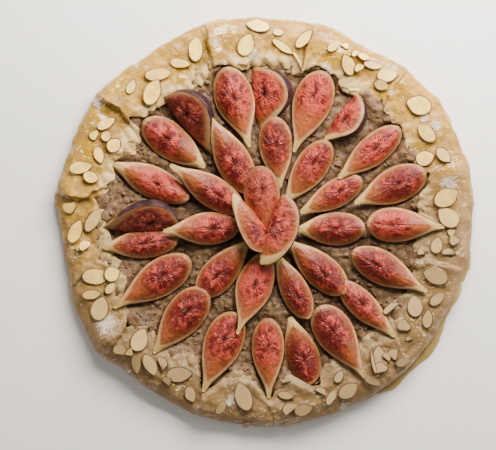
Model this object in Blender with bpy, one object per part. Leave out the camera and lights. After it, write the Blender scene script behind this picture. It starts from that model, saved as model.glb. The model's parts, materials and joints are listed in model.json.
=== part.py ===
"""A fig galette, unbaked: one sheet of pastry folded over a crumb filling, with fig wedges laid in two
rings round a middle of three, and sliced almonds on the folded edge.

Sizes in the tables are millimetres. Bearings are degrees, anticlockwise from +X seen from above.
The finished part stands on the plane z = 0, centred on the origin.
"""

import math
from typing import NamedTuple

import bmesh
import bpy
import numpy as np
from mathutils import Matrix, Vector
from mathutils.bvhtree import BVHTree

MM = 0.001
CLEARANCE = 0.35  # left between pieces that touch

# The pastry sheet: its base, and the edge folded over on it.
BASE_THICKNESS = 3.2
FOLD_WALL = 20.0  # solid dough from the outer edge inwards
CREST_HEIGHT = 14.6
LIP_HEIGHT = 12.4
FLAP_THICKNESS = 3.0
CORNER_ROUNDING = 1.5  # degrees either side of a corner of the outline
PLEAT_HALF_WIDTH = 0.3  # degrees
PLEAT_SPREAD = 13.0  # degrees over which an overlapping flap sinks back
COLUMN_SPACING = 5.0  # widest gap between two columns of points, in degrees

# The crumb filling under the figs.
FILLING_TOP = 9.0
FILLING_RELIEF = 0.45
FILLING_SIDES = 32
FILLING_RINGS = (0.30, 0.55, 0.75, 0.91)

# The figs.
WEDGE_HALF_ANGLE = 54.0  # of a wedge lying on its skin
SIDE_WEDGE_HALF_ANGLE = 46.0  # of a quarter lying on its side
FLESH_BULGE = 0.06  # of the radius, how far the cut flesh stands out of the plane of the cut
FACE_MIDDLE = 0.55  # of the way from the ridge to the skin
BOW = 0.055  # of the length, how far the ridge rises above a straight line between its ends
RING_STATIONS = (0.06, 0.17, 0.33, 0.51, 0.68, 0.83, 0.94)
SKIN_STEPS = 4

# The sliced almonds.
FLAKE_THICKNESS = 1.1
FLAKE_POINTS = 8
STEEPEST_FLAKE = 0.75  # rise over run


class Flap(NamedTuple):
    """One fold of the edge: where it runs, how far each end rides up on its neighbour, and its inner lip."""

    begin: float
    end: float
    lift_begin: float
    lift_end: float
    lip: tuple  # (bearing, radius) pairs


class Fig(NamedTuple):
    """One wedge. Its ends are those of the ridge where its cut faces meet, as (x, y, height)."""

    stem: tuple
    blossom: tuple
    radius: float
    roll: float = 0.0  # degrees that the middle of the skin is turned up, to the right of the stem
    neck: float = 0.5  # a larger number draws the stem out thinner
    fullest: float = 0.62  # where along the fig it is widest


class Flake(NamedTuple):
    """One almond slice, lying where it fell."""

    x: float
    y: float
    length: float
    width: float
    heading: float


# Corners of the pastry's outline, where the edge was folded over: (bearing, radius).
CORNERS = (
    (-9, 154), (6, 156), (17, 157), (34, 159), (49, 155), (60, 150), (72, 153), (90, 151), (104, 154),
    (114, 151), (131, 151), (141, 155), (154, 152), (172, 154), (179, 148), (189, 146), (203, 150),
    (218, 153), (227, 147), (237, 146), (250, 148), (262, 147), (275, 149), (290, 149), (303, 149),
    (312, 151), (323, 151), (338, 150),
)

FLAPS = (
    Flap(-12.5, 17.5, 0.0, 3.2, ((-12, 116), (-6, 113), (4, 114), (9, 116), (12, 122), (17, 128))),
    Flap(17.5, 46.5, 0.0, 3.0, ((18, 119), (26, 120), (31, 122), (35, 124), (39, 120), (43, 122), (46, 127))),
    Flap(46.5, 61.5, 0.3, 0.0, ((47, 123), (51, 119), (54, 115), (58.5, 113), (61, 115))),
    Flap(61.5, 76.0, 3.0, 2.4, ((62, 119), (66, 121.5), (70, 123), (73.5, 119), (75.5, 118))),
    Flap(76.0, 107.0, 0.0, 3.0, (
        (77, 112), (83, 116), (87.5, 113), (91, 113), (92.7, 116), (93, 120), (93.4, 116), (97, 112.5),
        (100, 115), (102, 119), (106.5, 120.5))),
    Flap(107.0, 142.0, 0.2, 3.6, (
        (108, 119), (111, 114), (114, 112), (119, 113.5), (124, 115), (127, 112), (131, 113), (138, 118),
        (141.7, 126))),
    Flap(142.0, 172.0, 0.0, 3.8, (
        (142.5, 112), (147, 108), (151, 107), (157, 117), (163, 113), (166, 115), (170, 119), (171.7, 127))),
    Flap(172.0, 218.0, 0.0, 3.4, (
        (173, 115), (181, 114), (184, 110.5), (192, 110), (203, 109), (208, 114), (213, 116), (217.5, 126))),
    Flap(218.0, 250.0, 0.0, 0.0, (
        (219, 114), (226, 112), (236, 108.5), (242, 109.5), (246, 113), (248, 120), (249.7, 127))),
    Flap(250.0, 273.0, 3.2, 1.0, ((250.5, 129), (254, 121), (258, 112), (262, 110), (266, 113.5), (269, 118.5),
                                  (272.5, 127))),
    Flap(273.0, 290.5, 0.2, 3.0, ((273.5, 126), (276, 116), (280.5, 111), (284, 117), (287, 123), (290, 124.5))),
    Flap(290.5, 303.0, 0.0, 0.0, ((291, 117), (294, 112), (297, 110), (302, 113))),
    Flap(303.0, 347.5, 2.6, 2.8, (
        (303.5, 114), (311, 112), (316, 112.5), (324, 112), (330, 114), (334, 117), (340, 114), (347, 117))),
)

# Wedges that lie on their skin in the outer ring, clockwise from the top.
OUTER_FIGS = (
    Fig((-9, 56, 16), (-27, 114, 20), 18.5, neck=0.62),
    Fig((23, 52, 16), (45, 111, 20), 18.5, neck=0.62, fullest=0.66),
    Fig((55, 33, 16), (101, 70, 17), 14.5, fullest=0.60),
    Fig((67, 15, 16), (119, 38, 19), 17.0),
    Fig((133, -2, 18), (76, 0, 19), 16.5, neck=0.62, fullest=0.66),
    Fig((120, -49, 17), (65, -20, 19), 16.0, neck=0.60),
    Fig((97, -82, 16), (56, -42, 17), 13.0, fullest=0.60),
    Fig((76, -113, 18), (40, -60, 19), 18.0, neck=0.68, fullest=0.68),
    Fig((20, -67, 16), (36, -117, 14), 16.5, neck=0.45),
    Fig((5, -127, 15), (4, -68, 19), 15.5, neck=0.62, fullest=0.64),
    Fig((-43, -122, 17), (-19, -64, 19), 18.5, neck=0.62, fullest=0.64),
    Fig((-79, -94, 16), (-41, -47, 19), 18.0, neck=0.52),
    Fig((-108, -61, 16), (-52, -25, 19), 17.5, neck=0.62, fullest=0.64),
    Fig((-116, -17, 16), (-61, -12, 16), 14.0, neck=0.45, fullest=0.56),
    Fig((-108, 44, 15), (-53, 18, 16), 15.0, neck=0.40, fullest=0.52),
    Fig((-41, 41, 15), (-86, 75, 19), 17.0, neck=0.42),
)

# Quarters that lie on their side under the outer ring, a cut face up and the skin showing.
SIDE_FIGS = (
    Fig((-2, 64, 8), (-8, 114, 11), 31.0, roll=72, neck=0.55, fullest=0.58),
    Fig((42, 59, 11), (68, 96, 13), 22.0, roll=74, neck=0.62, fullest=0.55),
    Fig((-116, -4, 12), (-60, -5, 12), 25.5, roll=-76, neck=0.45, fullest=0.60),
    Fig((-37, 50, 12), (-73, 91, 13), 28.0, roll=76, neck=0.55, fullest=0.58),
)

# The inner ring, clockwise from the top.
INNER_FIGS = (
    Fig((13, 26, 16), (8, 78, 21), 16.0),
    Fig((17, 16, 16), (49, 60, 18), 15.5, neck=0.42),
    Fig((28, 8, 16), (73, 33, 17), 13.5, neck=0.42),
    Fig((25, -4, 16), (75, -3, 18), 16.0, neck=0.42, fullest=0.58),
    Fig((17, -11, 16), (61, -50, 18), 16.0),
    Fig((10, -21, 16), (34, -69, 17), 13.5, neck=0.45),
    Fig((-18, -80, 21), (3, -21, 18), 17.0, neck=0.75, fullest=0.60),
    Fig((-9, -12, 16), (-46, -52, 18), 16.0, neck=0.45),
    Fig((-72, -5, 21), (-16, -2, 18), 15.5, neck=0.58, fullest=0.60),
    Fig((-67, 43, 21), (-13, 9, 18), 15.0, neck=0.58, fullest=0.60),
    Fig((-40, 81, 22), (-8, 22, 18), 16.5, neck=0.65),
)

# The three in the middle, on top of the inner ring.
MIDDLE_FIGS = (
    Fig((3, -13, 20), (-2, 42, 26), 17.0, neck=0.45, fullest=0.66),
    Fig((-20, 23, 27), (11, -17, 24), 18.5, roll=50, neck=0.32, fullest=0.70),
    Fig((-2, -29, 26), (15, 22, 28), 21.5, roll=44, neck=0.25, fullest=0.55),
)

FLAKES = (
    Flake(-3, 143, 19, 10.5, -20), Flake(-11, 131, 18, 11.5, 55), Flake(31, 135, 18, 8, 38),
    Flake(-48, 127, 19, 10.5, 75), Flake(-76, 109, 20, 9, 15), Flake(-79, 96, 21, 11.5, 55),
    Flake(62, 116, 18, 9, -80), Flake(91, 108, 16.5, 10, -10), Flake(114, 86, 20, 13.5, -30),
    Flake(120, 66, 17.5, 10, -55), Flake(119, 48, 15, 11, 0), Flake(134, 20, 20, 13, 45),
    Flake(135, 4, 19, 12.5, -25), Flake(126, -38, 20, 12, -30), Flake(111, -60, 16.5, 11.5, 80),
    Flake(85, -99, 22, 11.5, -75), Flake(63, -120, 17, 10.5, 45), Flake(-13, -125, 23, 12, -60),
    Flake(-60, -109, 20, 11, -10), Flake(-89, -84, 19, 12, 80), Flake(-117, -61, 19, 12.5, 60),
    Flake(-121, -38, 21, 11.5, -12), Flake(-135, -5, 19, 9.5, 55), Flake(-131, 41, 18.5, 9, -2),
)


# ---------------------------------------------------------------- materials and small helpers


def material(name, colour, roughness):
    """A plain, non-metallic Principled surface."""
    made = bpy.data.materials.new(name)
    made.use_nodes = True
    shader = made.node_tree.nodes["Principled BSDF"]
    shader.inputs["Base Color"].default_value = (*colour, 1.0)
    shader.inputs["Roughness"].default_value = roughness
    shader.inputs["Metallic"].default_value = 0.0
    return made


def new_object(name, mesh, surface, parent):
    mesh.materials.append(surface)
    made = bpy.data.objects.new(name, mesh)
    bpy.context.scene.collection.objects.link(made)
    made.parent = parent
    return made


def mesh_from_rings(name, rings, first_cap, last_cap):
    """A closed skin over rings of points. A cap is a pole point, or None for a flat face across the ring."""
    shape = bmesh.new()
    rows = [[shape.verts.new(point) for point in ring] for ring in rings]
    for near, far in zip(rows, rows[1:]):
        for i in range(len(near)):
            k = (i + 1) % len(near)
            shape.faces.new((near[i], near[k], far[k], far[i]))
    bmesh.ops.triangulate(shape, faces=shape.faces)
    for row, cap in ((rows[0], first_cap), (rows[-1], last_cap)):
        if cap is None:
            shape.faces.new(row)
            continue
        pole = shape.verts.new(cap)
        for i in range(len(row)):
            shape.faces.new((row[i], row[(i + 1) % len(row)], pole))
    bmesh.ops.recalc_face_normals(shape, faces=shape.faces)
    mesh = bpy.data.meshes.new(name)
    shape.to_mesh(mesh)
    shape.free()
    return mesh


def at_bearing(bearing, radius, height):
    turn = math.radians(bearing)
    return Vector((radius * math.cos(turn), radius * math.sin(turn), height)) * MM


# ---------------------------------------------------------------- the pastry


def chord_radius(bearing):
    """Radius of the many-sided outline: the folds between corners run straight."""
    starts = [corner[0] for corner in CORNERS]
    turned = (bearing - starts[0]) % 360 + starts[0]
    k = max(i for i, start in enumerate(starts) if start <= turned)
    (b0, r0), (b1, r1) = CORNERS[k], CORNERS[(k + 1) % len(CORNERS)]
    span = math.radians((b1 - b0) % 360)
    along = math.radians(turned - b0)
    return r0 * r1 * math.sin(span) / (r0 * math.sin(along) + r1 * math.sin(span - along))


def outline_radius(bearing):
    """The outline with its corners rounded off."""
    around = [chord_radius(bearing + share * CORNER_ROUNDING) for share in (-1, -0.5, 0, 0.5, 1)]
    return sum(around) / len(around)


def inner_wall_radius(bearing):
    return outline_radius(bearing) - FOLD_WALL


def flap_lift(flap, bearing):
    """How much a fold stands up at this bearing, because an end of it lies on the next fold."""
    near_begin = max(0.0, 1 - (bearing - flap.begin) / PLEAT_SPREAD) ** 2
    near_end = max(0.0, 1 - (flap.end - bearing) / PLEAT_SPREAD) ** 2
    return flap.lift_begin * near_begin + flap.lift_end * near_end


def dough_swell(bearing):
    """The slow rise and fall of a hand-folded edge."""
    turn = math.radians(bearing)
    return 0.8 * math.sin(5 * turn + 1.0) + 0.5 * math.sin(11 * turn + 2.0)


def pastry_profile(flap, bearing):
    """(radius, height) points from the underside's edge, over the fold and under its lip to the base."""
    edge = outline_radius(bearing)
    lip = float(np.interp(bearing, *zip(*flap.lip)))
    lift = flap_lift(flap, bearing)
    crest = CREST_HEIGHT + dough_swell(bearing)
    underside = LIP_HEIGHT - FLAP_THICKNESS
    wall = max(inner_wall_radius(bearing), lip + 2.0)
    return (
        (edge - 4.0, 0.0),
        (edge - 0.8, 1.8),
        (edge, 5.2),
        (edge - 1.6, 9.2 + 0.3 * lift),
        (edge - 5.5, 12.4 + 0.6 * lift),
        (edge - 12.0, crest + 0.9 * lift),
        ((edge + lip) / 2 - 3.0, crest - 0.6 + lift),
        (lip + 5.0, LIP_HEIGHT + 0.6 + lift),
        (lip + 0.8, LIP_HEIGHT - 0.5 + lift),
        (lip, LIP_HEIGHT - 1.6 + lift),
        (lip + 1.2, underside + 0.3 + 0.9 * lift),
        (wall - 0.4, underside + 0.2),
        (wall, BASE_THICKNESS),
    )


def column_bearings(flap):
    """Bearings of a fold's columns: its two ends, its lip's points, and more where those are far apart."""
    marks = [flap.begin + PLEAT_HALF_WIDTH, *(bearing for bearing, _ in flap.lip), flap.end - PLEAT_HALF_WIDTH]
    marks = sorted(m for m in marks if marks[0] <= m <= marks[-1])
    bearings = [marks[0]]
    for mark in marks[1:]:
        gap = mark - bearings[-1]
        if gap < PLEAT_HALF_WIDTH:
            continue
        steps = math.ceil(gap / COLUMN_SPACING)
        start = bearings[-1]
        bearings += [start + gap * (i + 1) / steps for i in range(steps)]
    return bearings


def make_pastry(surface, parent):
    columns = [(flap, bearing) for flap in FLAPS for bearing in column_bearings(flap)]
    profiles = [pastry_profile(flap, bearing) for flap, bearing in columns]
    rings = [
        [at_bearing(bearing, *profile[j]) for (_, bearing), profile in zip(columns, profiles)]
        for j in range(len(profiles[0]))
    ]
    return new_object("pastry", mesh_from_rings("pastry", rings, None, None), surface, parent)


# ---------------------------------------------------------------- the filling


def filling_height(x, y):
    """The spread crumb's slightly uneven top."""
    waves = math.sin(0.13 * x + 0.6) * math.cos(0.11 * y) + 0.6 * math.sin(0.23 * y - 0.17 * x)
    return FILLING_TOP - FILLING_RELIEF + FILLING_RELIEF * waves / 1.6


def make_filling(surface, parent):
    bearings = [360 * i / FILLING_SIDES for i in range(FILLING_SIDES)]
    margin = 2 * CLEARANCE + 0.6  # the last is for chords between columns
    edges = [min(inner_wall_radius(b + turn) for turn in (-6, -4, -2, 0, 2, 4, 6)) - margin for b in bearings]
    floor = BASE_THICKNESS + CLEARANCE

    def top_ring(share):
        ring = []
        for bearing, edge in zip(bearings, edges):
            point = at_bearing(bearing, edge * share, 0.0)
            point.z = filling_height(point.x / MM, point.y / MM) * MM
            ring.append(point)
        return ring

    rings = [top_ring(share) for share in FILLING_RINGS]
    rings.append([at_bearing(b, edge, FILLING_TOP - 1.2) for b, edge in zip(bearings, edges)])
    rings.append([at_bearing(b, edge, floor) for b, edge in zip(bearings, edges)])
    middle = Vector((0, 0, filling_height(0, 0) * MM))
    return new_object("filling", mesh_from_rings("filling", rings, middle, None), surface, parent)


# ---------------------------------------------------------------- the figs


def pear_share(t, neck, fullest):
    """Radius of a fig at t of its length from the stem, as a share of its largest radius."""
    if t < fullest:
        return ((1 - math.cos(math.pi * t / fullest)) / 2) ** neck
    return math.sqrt(max(0.0, 1 - ((t - fullest) / (1 - fullest)) ** 2))


def wedge_mesh(name, fig, length, half_angle):
    """A wedge whose ridge runs along +X from the stem at the origin, with the middle of its skin at -Z."""
    half = math.radians(half_angle)
    bow = BOW * length
    rings = []
    for t in RING_STATIONS:
        radius = fig.radius * pear_share(t, fig.neck, fig.fullest)
        across = [(0.0, 0.0)]
        for side in (1, -1):
            edge = Vector((side * math.sin(half), -math.cos(half))) * radius
            out = Vector((side * math.cos(half), math.sin(half))) * radius * FLESH_BULGE
            skin = [
                (radius * math.sin(side * half * share), -radius * math.cos(half * share))
                for share in (1 - step * 2 / SKIN_STEPS for step in range(SKIN_STEPS // 2))
            ]
            middle = tuple(edge * FACE_MIDDLE + out)
            across += [middle, *skin] if side == 1 else [(0.0, -radius), *skin[::-1], middle]
        lift = bow * 4 * t * (1 - t)
        rings.append([Vector((t * length, y, z + lift)) * MM for y, z in across])
    return mesh_from_rings(name, rings, Vector((0, 0, 0)), Vector((length * MM, 0, 0)))


def make_fig(name, fig, surface, parent):
    """Lays a wedge from its stem to its blossom end, rolled onto its skin or its side."""
    half_angle = SIDE_WEDGE_HALF_ANGLE if abs(fig.roll) > 40 else WEDGE_HALF_ANGLE
    stem = Vector(fig.stem)
    along = Vector(fig.blossom) - stem
    mesh = wedge_mesh(name, fig, along.length, half_angle)
    made = new_object(name, mesh, surface, parent)
    forward = along.normalized()
    level_side = Vector((-along.y, along.x, 0)).normalized()
    upright = Matrix((forward, level_side, forward.cross(level_side))).transposed()
    turn = Matrix.Rotation(math.radians(-fig.roll), 3, "X")
    made.matrix_local = Matrix.Translation(stem * MM) @ (upright @ turn).to_4x4()
    return made


def offset_copy(piece):
    """A hidden, slightly larger copy of a piece, to cut room for it out of what lies under it."""
    made = bpy.data.objects.new(piece.name + "_room", piece.data.copy())
    bpy.context.scene.collection.objects.link(made)
    made.matrix_world = piece.matrix_world.copy()
    grow = made.modifiers.new("grow", "DISPLACE")
    grow.mid_level = 0.0
    grow.strength = CLEARANCE * MM
    made.hide_render = True
    made.display_type = "WIRE"
    return made


def boxes_meet(a, b):
    corners = [np.array([o.matrix_world @ Vector(c) for c in o.bound_box]) for o in (a, b)]
    return bool(np.all(corners[0].min(0) <= corners[1].max(0)) and np.all(corners[1].min(0) <= corners[0].max(0)))


def keep_largest_body(mesh):
    """Drops the slivers that a cut leaves beside the piece itself."""
    shape = bmesh.new()
    shape.from_mesh(mesh)
    unseen, bodies = set(shape.faces), []
    while unseen:
        body, edge = set(), {unseen.pop()}
        while edge:
            body |= edge
            edge = {n for f in edge for e in f.edges for n in e.link_faces} - body
        unseen -= body
        bodies.append(body)
    largest = max(bodies, key=lambda faces: sum(face.calc_area() for face in faces))
    spare = [face for face in shape.faces if face not in largest]
    bmesh.ops.delete(shape, geom=spare, context="FACES")
    shape.to_mesh(mesh)
    shape.free()


def cut_room(piece, cutters):
    """Takes out of a soft piece the space of what presses on it."""
    for cutter in cutters:
        if not boxes_meet(piece, cutter):
            continue
        cut = piece.modifiers.new("room", "BOOLEAN")
        cut.operation = "DIFFERENCE"
        cut.solver = "EXACT"
        cut.object = cutter
    if not piece.modifiers:
        return
    graph = bpy.context.evaluated_depsgraph_get()
    mesh = bpy.data.meshes.new_from_object(piece.evaluated_get(graph))
    keep_largest_body(mesh)
    piece.modifiers.clear()
    piece.data = mesh


def make_figs(surface, parent, supports):
    """All the wedges, from the top of the heap down, each cut to make room for those above it."""
    layers = (
        ("fig_middle", MIDDLE_FIGS[::-1]),
        ("fig_inner", INNER_FIGS[::-1]),
        ("fig_outer", OUTER_FIGS),
        ("fig_side", SIDE_FIGS),
    )
    cutters = [offset_copy(support) for support in supports]
    figs = []
    for layer, rows in layers:
        for number, row in enumerate(rows, 1):
            made = make_fig(f"{layer}_{number:02d}", row, surface, parent)
            bpy.context.view_layer.update()
            cut_room(made, cutters)
            figs.append(made)
            bpy.context.view_layer.update()
            cutters.append(offset_copy(made))
    return figs


# ---------------------------------------------------------------- the almonds


def flake_outline(length, width, points):
    """A slice's outline: round at one end and drawn to a point at the other."""
    outline = []
    for i in range(points):
        turn = 2 * math.pi * i / points
        taper = 1 - 0.22 * math.cos(turn) - 0.10 * math.cos(2 * turn)
        outline.append(Vector((0.5 * length * math.cos(turn), 0.5 * width * math.sin(turn) * taper)))
    return outline


def surface_below(point, supports):
    hits = [tree.ray_cast(Vector((point.x, point.y, 0.1)), Vector((0, 0, -1)))[0] for tree in supports]
    return max((hit.z for hit in hits if hit), default=0.0)


def resting_plane(points, supports):
    """(slope in x, slope in y, height at the origin) of a stiff slice lying on what is under these points."""
    heights = np.array([surface_below(point, supports) for point in points])
    flat = np.array([(point.x, point.y, 1.0) for point in points])
    slope_x, slope_y, _ = np.linalg.lstsq(flat, heights, rcond=None)[0]
    steep = math.hypot(slope_x, slope_y)
    ease = min(1.0, STEEPEST_FLAKE / steep) if steep else 1.0
    slope_x, slope_y = slope_x * ease, slope_y * ease
    top = max(heights - flat[:, 0] * slope_x - flat[:, 1] * slope_y)
    return slope_x, slope_y, top + CLEARANCE * 1.4 * MM


def make_flake(name, flake, surface, parent, supports):
    outline = flake_outline(flake.length, flake.width, FLAKE_POINTS)
    heading = Matrix.Rotation(math.radians(flake.heading), 2)
    centre = Vector((flake.x, flake.y))
    samples = [
        (centre + heading @ (point * share)).to_3d() * MM
        for point in flake_outline(flake.length, flake.width, 3 * FLAKE_POINTS)
        for share in (0.0, 0.35, 0.7, 1.0, 1.04)
    ]
    slope_x, slope_y, height = resting_plane(samples, supports)
    normal = Vector((-slope_x, -slope_y, 1)).normalized()
    along = heading @ Vector((1, 0))
    forward = Vector((along.x, along.y, along.x * slope_x + along.y * slope_y)).normalized()
    at = (centre * MM).to_3d()
    at.z = height + slope_x * at.x + slope_y * at.y
    rings = [
        [Vector((p.x, p.y, level)) * MM for p in outline] for level in (0.0, FLAKE_THICKNESS)
    ]
    made = new_object(name, mesh_from_rings(name, rings, None, None), surface, parent)
    turn = Matrix((forward, normal.cross(forward), normal)).transposed()
    made.matrix_local = Matrix.Translation(at) @ turn.to_4x4()
    return made


def tree_of(piece):
    """A ray-casting tree of a piece where it stands."""
    points = [piece.matrix_world @ vertex.co for vertex in piece.data.vertices]
    return BVHTree.FromPolygons(points, [tuple(face.vertices) for face in piece.data.polygons])


def make_flakes(surface, parent, pieces):
    supports = [tree_of(piece) for piece in pieces]
    flakes = []
    for number, row in enumerate(FLAKES, 1):
        made = make_flake(f"almond_{number:02d}", row, surface, parent, supports)
        bpy.context.view_layer.update()
        supports.append(tree_of(made))
        flakes.append(made)
    return flakes


# ---------------------------------------------------------------- the whole


def centre_on_base(whole, pieces):
    """Moves the galette so that its box is centred over the origin and stands on z = 0."""
    bpy.context.view_layer.update()
    corners = np.array([piece.matrix_world @ vertex.co for piece in pieces for vertex in piece.data.vertices])
    low, high = corners.min(0), corners.max(0)
    whole.location = (-(low[0] + high[0]) / 2, -(low[1] + high[1]) / 2, -low[2])
    bpy.context.view_layer.update()


def main():
    for old in list(bpy.data.objects):
        bpy.data.objects.remove(old)
    dough = material("raw_pastry", (0.66, 0.49, 0.28), 0.45)
    crumb = material("crumb_filling", (0.42, 0.33, 0.21), 0.85)
    flesh = material("fig", (0.46, 0.13, 0.07), 0.40)
    almond = material("almond", (0.80, 0.66, 0.45), 0.55)

    galette = bpy.data.objects.new("galette", None)
    bpy.context.scene.collection.objects.link(galette)
    pastry = make_pastry(dough, galette)
    filling = make_filling(crumb, galette)
    bpy.context.view_layer.update()
    figs = make_figs(flesh, galette, [pastry, filling])
    flakes = make_flakes(almond, galette, [pastry, filling, *figs])
    centre_on_base(galette, [pastry, filling, *figs, *flakes])


main()
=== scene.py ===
"""The finished look of a fig galette, laid on its CAD solids.

Lengths in the tables and in the modelling functions are millimetres; objects are in metres.
"""

import json
import math
import random
from contextlib import contextmanager
from typing import NamedTuple

import bpy
import numpy as np
from mathutils import Matrix, Vector, noise
from mathutils.bvhtree import BVHTree

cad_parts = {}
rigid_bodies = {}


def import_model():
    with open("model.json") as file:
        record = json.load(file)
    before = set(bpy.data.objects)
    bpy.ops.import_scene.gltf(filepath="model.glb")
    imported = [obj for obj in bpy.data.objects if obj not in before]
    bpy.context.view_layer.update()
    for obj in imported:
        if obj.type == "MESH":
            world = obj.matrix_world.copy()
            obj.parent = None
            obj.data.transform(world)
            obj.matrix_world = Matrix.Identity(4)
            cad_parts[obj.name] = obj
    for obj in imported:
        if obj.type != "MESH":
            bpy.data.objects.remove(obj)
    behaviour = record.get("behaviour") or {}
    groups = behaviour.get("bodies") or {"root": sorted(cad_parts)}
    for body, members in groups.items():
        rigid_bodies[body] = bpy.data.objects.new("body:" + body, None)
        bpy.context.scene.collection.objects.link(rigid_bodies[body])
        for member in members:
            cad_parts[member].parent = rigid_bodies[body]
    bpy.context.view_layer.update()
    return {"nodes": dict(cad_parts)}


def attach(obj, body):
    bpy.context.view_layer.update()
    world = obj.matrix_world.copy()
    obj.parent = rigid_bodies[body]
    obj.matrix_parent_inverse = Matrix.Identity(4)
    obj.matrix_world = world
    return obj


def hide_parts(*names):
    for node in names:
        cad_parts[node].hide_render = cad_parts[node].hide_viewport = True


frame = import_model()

bl_info = {
    "name": "Fig Galette",
    "version": (1, 0, 0),
    "blender": (4, 5, 0),
    "location": "3D View > Sidebar > Galette",
    "description": "Dresses the solids of a fig galette with dough, crumb, fruit, almonds and egg wash",
    "category": "Object",
}

MM = 0.001


# ---------------------------------------------------------------- what lies where


class Wedge(NamedTuple):
    """A fig wedge: the ends of the ridge between its cut faces, as (x, y, height), and its form."""

    stem: tuple
    blossom: tuple
    radius: float
    roll: float = 0.0  # degrees that the middle of the skin is turned up, to the right of the stem
    neck: float = 0.5
    fullest: float = 0.62
    # dusk is painted shade, darkening and browning a wedge's cut faces
    dusk: float = 0.0  # how much darker and browner its cut faces are


WEDGES = {
    "fig_outer": (
        Wedge((-9, 56, 16), (-27, 114, 20), 18.5, neck=0.62),
        Wedge((23, 52, 16), (45, 111, 20), 18.5, neck=0.62, fullest=0.66),
        Wedge((55, 33, 16), (101, 70, 17), 14.5, fullest=0.60),
        Wedge((67, 15, 16), (119, 38, 19), 17.0),
        Wedge((133, -2, 18), (76, 0, 19), 16.5, neck=0.62, fullest=0.66),
        Wedge((120, -49, 17), (65, -20, 19), 16.0, neck=0.60),
        Wedge((97, -82, 16), (56, -42, 17), 13.0, fullest=0.60),
        Wedge((76, -113, 18), (40, -60, 19), 18.0, neck=0.68, fullest=0.68),
        Wedge((20, -67, 16), (36, -117, 14), 16.5, neck=0.45),
        Wedge((5, -127, 15), (4, -68, 19), 15.5, neck=0.62, fullest=0.64),
        Wedge((-43, -122, 17), (-19, -64, 19), 18.5, neck=0.62, fullest=0.64),
        Wedge((-79, -94, 16), (-41, -47, 19), 18.0, neck=0.52),
        Wedge((-108, -61, 16), (-52, -25, 19), 17.5, neck=0.62, fullest=0.64),
        Wedge((-116, -17, 16), (-61, -12, 16), 14.0, neck=0.45, fullest=0.56),
        Wedge((-108, 44, 15), (-53, 18, 16), 15.0, neck=0.40, fullest=0.52),
        Wedge((-41, 41, 15), (-86, 75, 19), 17.0, neck=0.42),
    ),
    "fig_side": (
        Wedge((-2, 64, 8), (-8, 114, 11), 31.0, roll=72, neck=0.55, fullest=0.58),
        Wedge((42, 59, 11), (68, 96, 13), 22.0, roll=74, neck=0.62, fullest=0.55),
        Wedge((-116, -4, 12), (-60, -5, 12), 25.5, roll=-76, neck=0.45, fullest=0.60, dusk=0.8),
        Wedge((-37, 50, 12), (-73, 91, 13), 28.0, roll=76, neck=0.55, fullest=0.58, dusk=0.6),
    ),
    "fig_inner": (
        Wedge((-40, 81, 22), (-8, 22, 18), 16.5, neck=0.65),
        Wedge((-67, 43, 21), (-13, 9, 18), 15.0, neck=0.58, fullest=0.60),
        Wedge((-72, -5, 21), (-16, -2, 18), 15.5, neck=0.58, fullest=0.60),
        Wedge((-9, -12, 16), (-46, -52, 18), 16.0, neck=0.45),
        Wedge((-18, -80, 21), (3, -21, 18), 17.0, neck=0.75, fullest=0.60),
        Wedge((10, -21, 16), (34, -69, 17), 13.5, neck=0.45),
        Wedge((17, -11, 16), (61, -50, 18), 16.0),
        Wedge((25, -4, 16), (75, -3, 18), 16.0, neck=0.42, fullest=0.58),
        Wedge((28, 8, 16), (73, 33, 17), 13.5, neck=0.42),
        Wedge((17, 16, 16), (49, 60, 18), 15.5, neck=0.42),
        Wedge((13, 26, 16), (8, 78, 21), 16.0),
    ),
    "fig_middle": (
        Wedge((-2, -29, 26), (15, 22, 28), 21.5, roll=44, neck=0.25, fullest=0.55),
        Wedge((-20, 23, 27), (11, -17, 24), 18.5, roll=50, neck=0.32, fullest=0.70),
        Wedge((3, -13, 20), (-2, 42, 26), 17.0, neck=0.45, fullest=0.66, dusk=0.5),
    ),
}


class Flake(NamedTuple):
    """A slice of almond: its middle, its sizes, its heading in degrees, and the kind of break it has."""

    x: float
    y: float
    length: float
    width: float
    heading: float
    kind: str = "whole"


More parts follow.
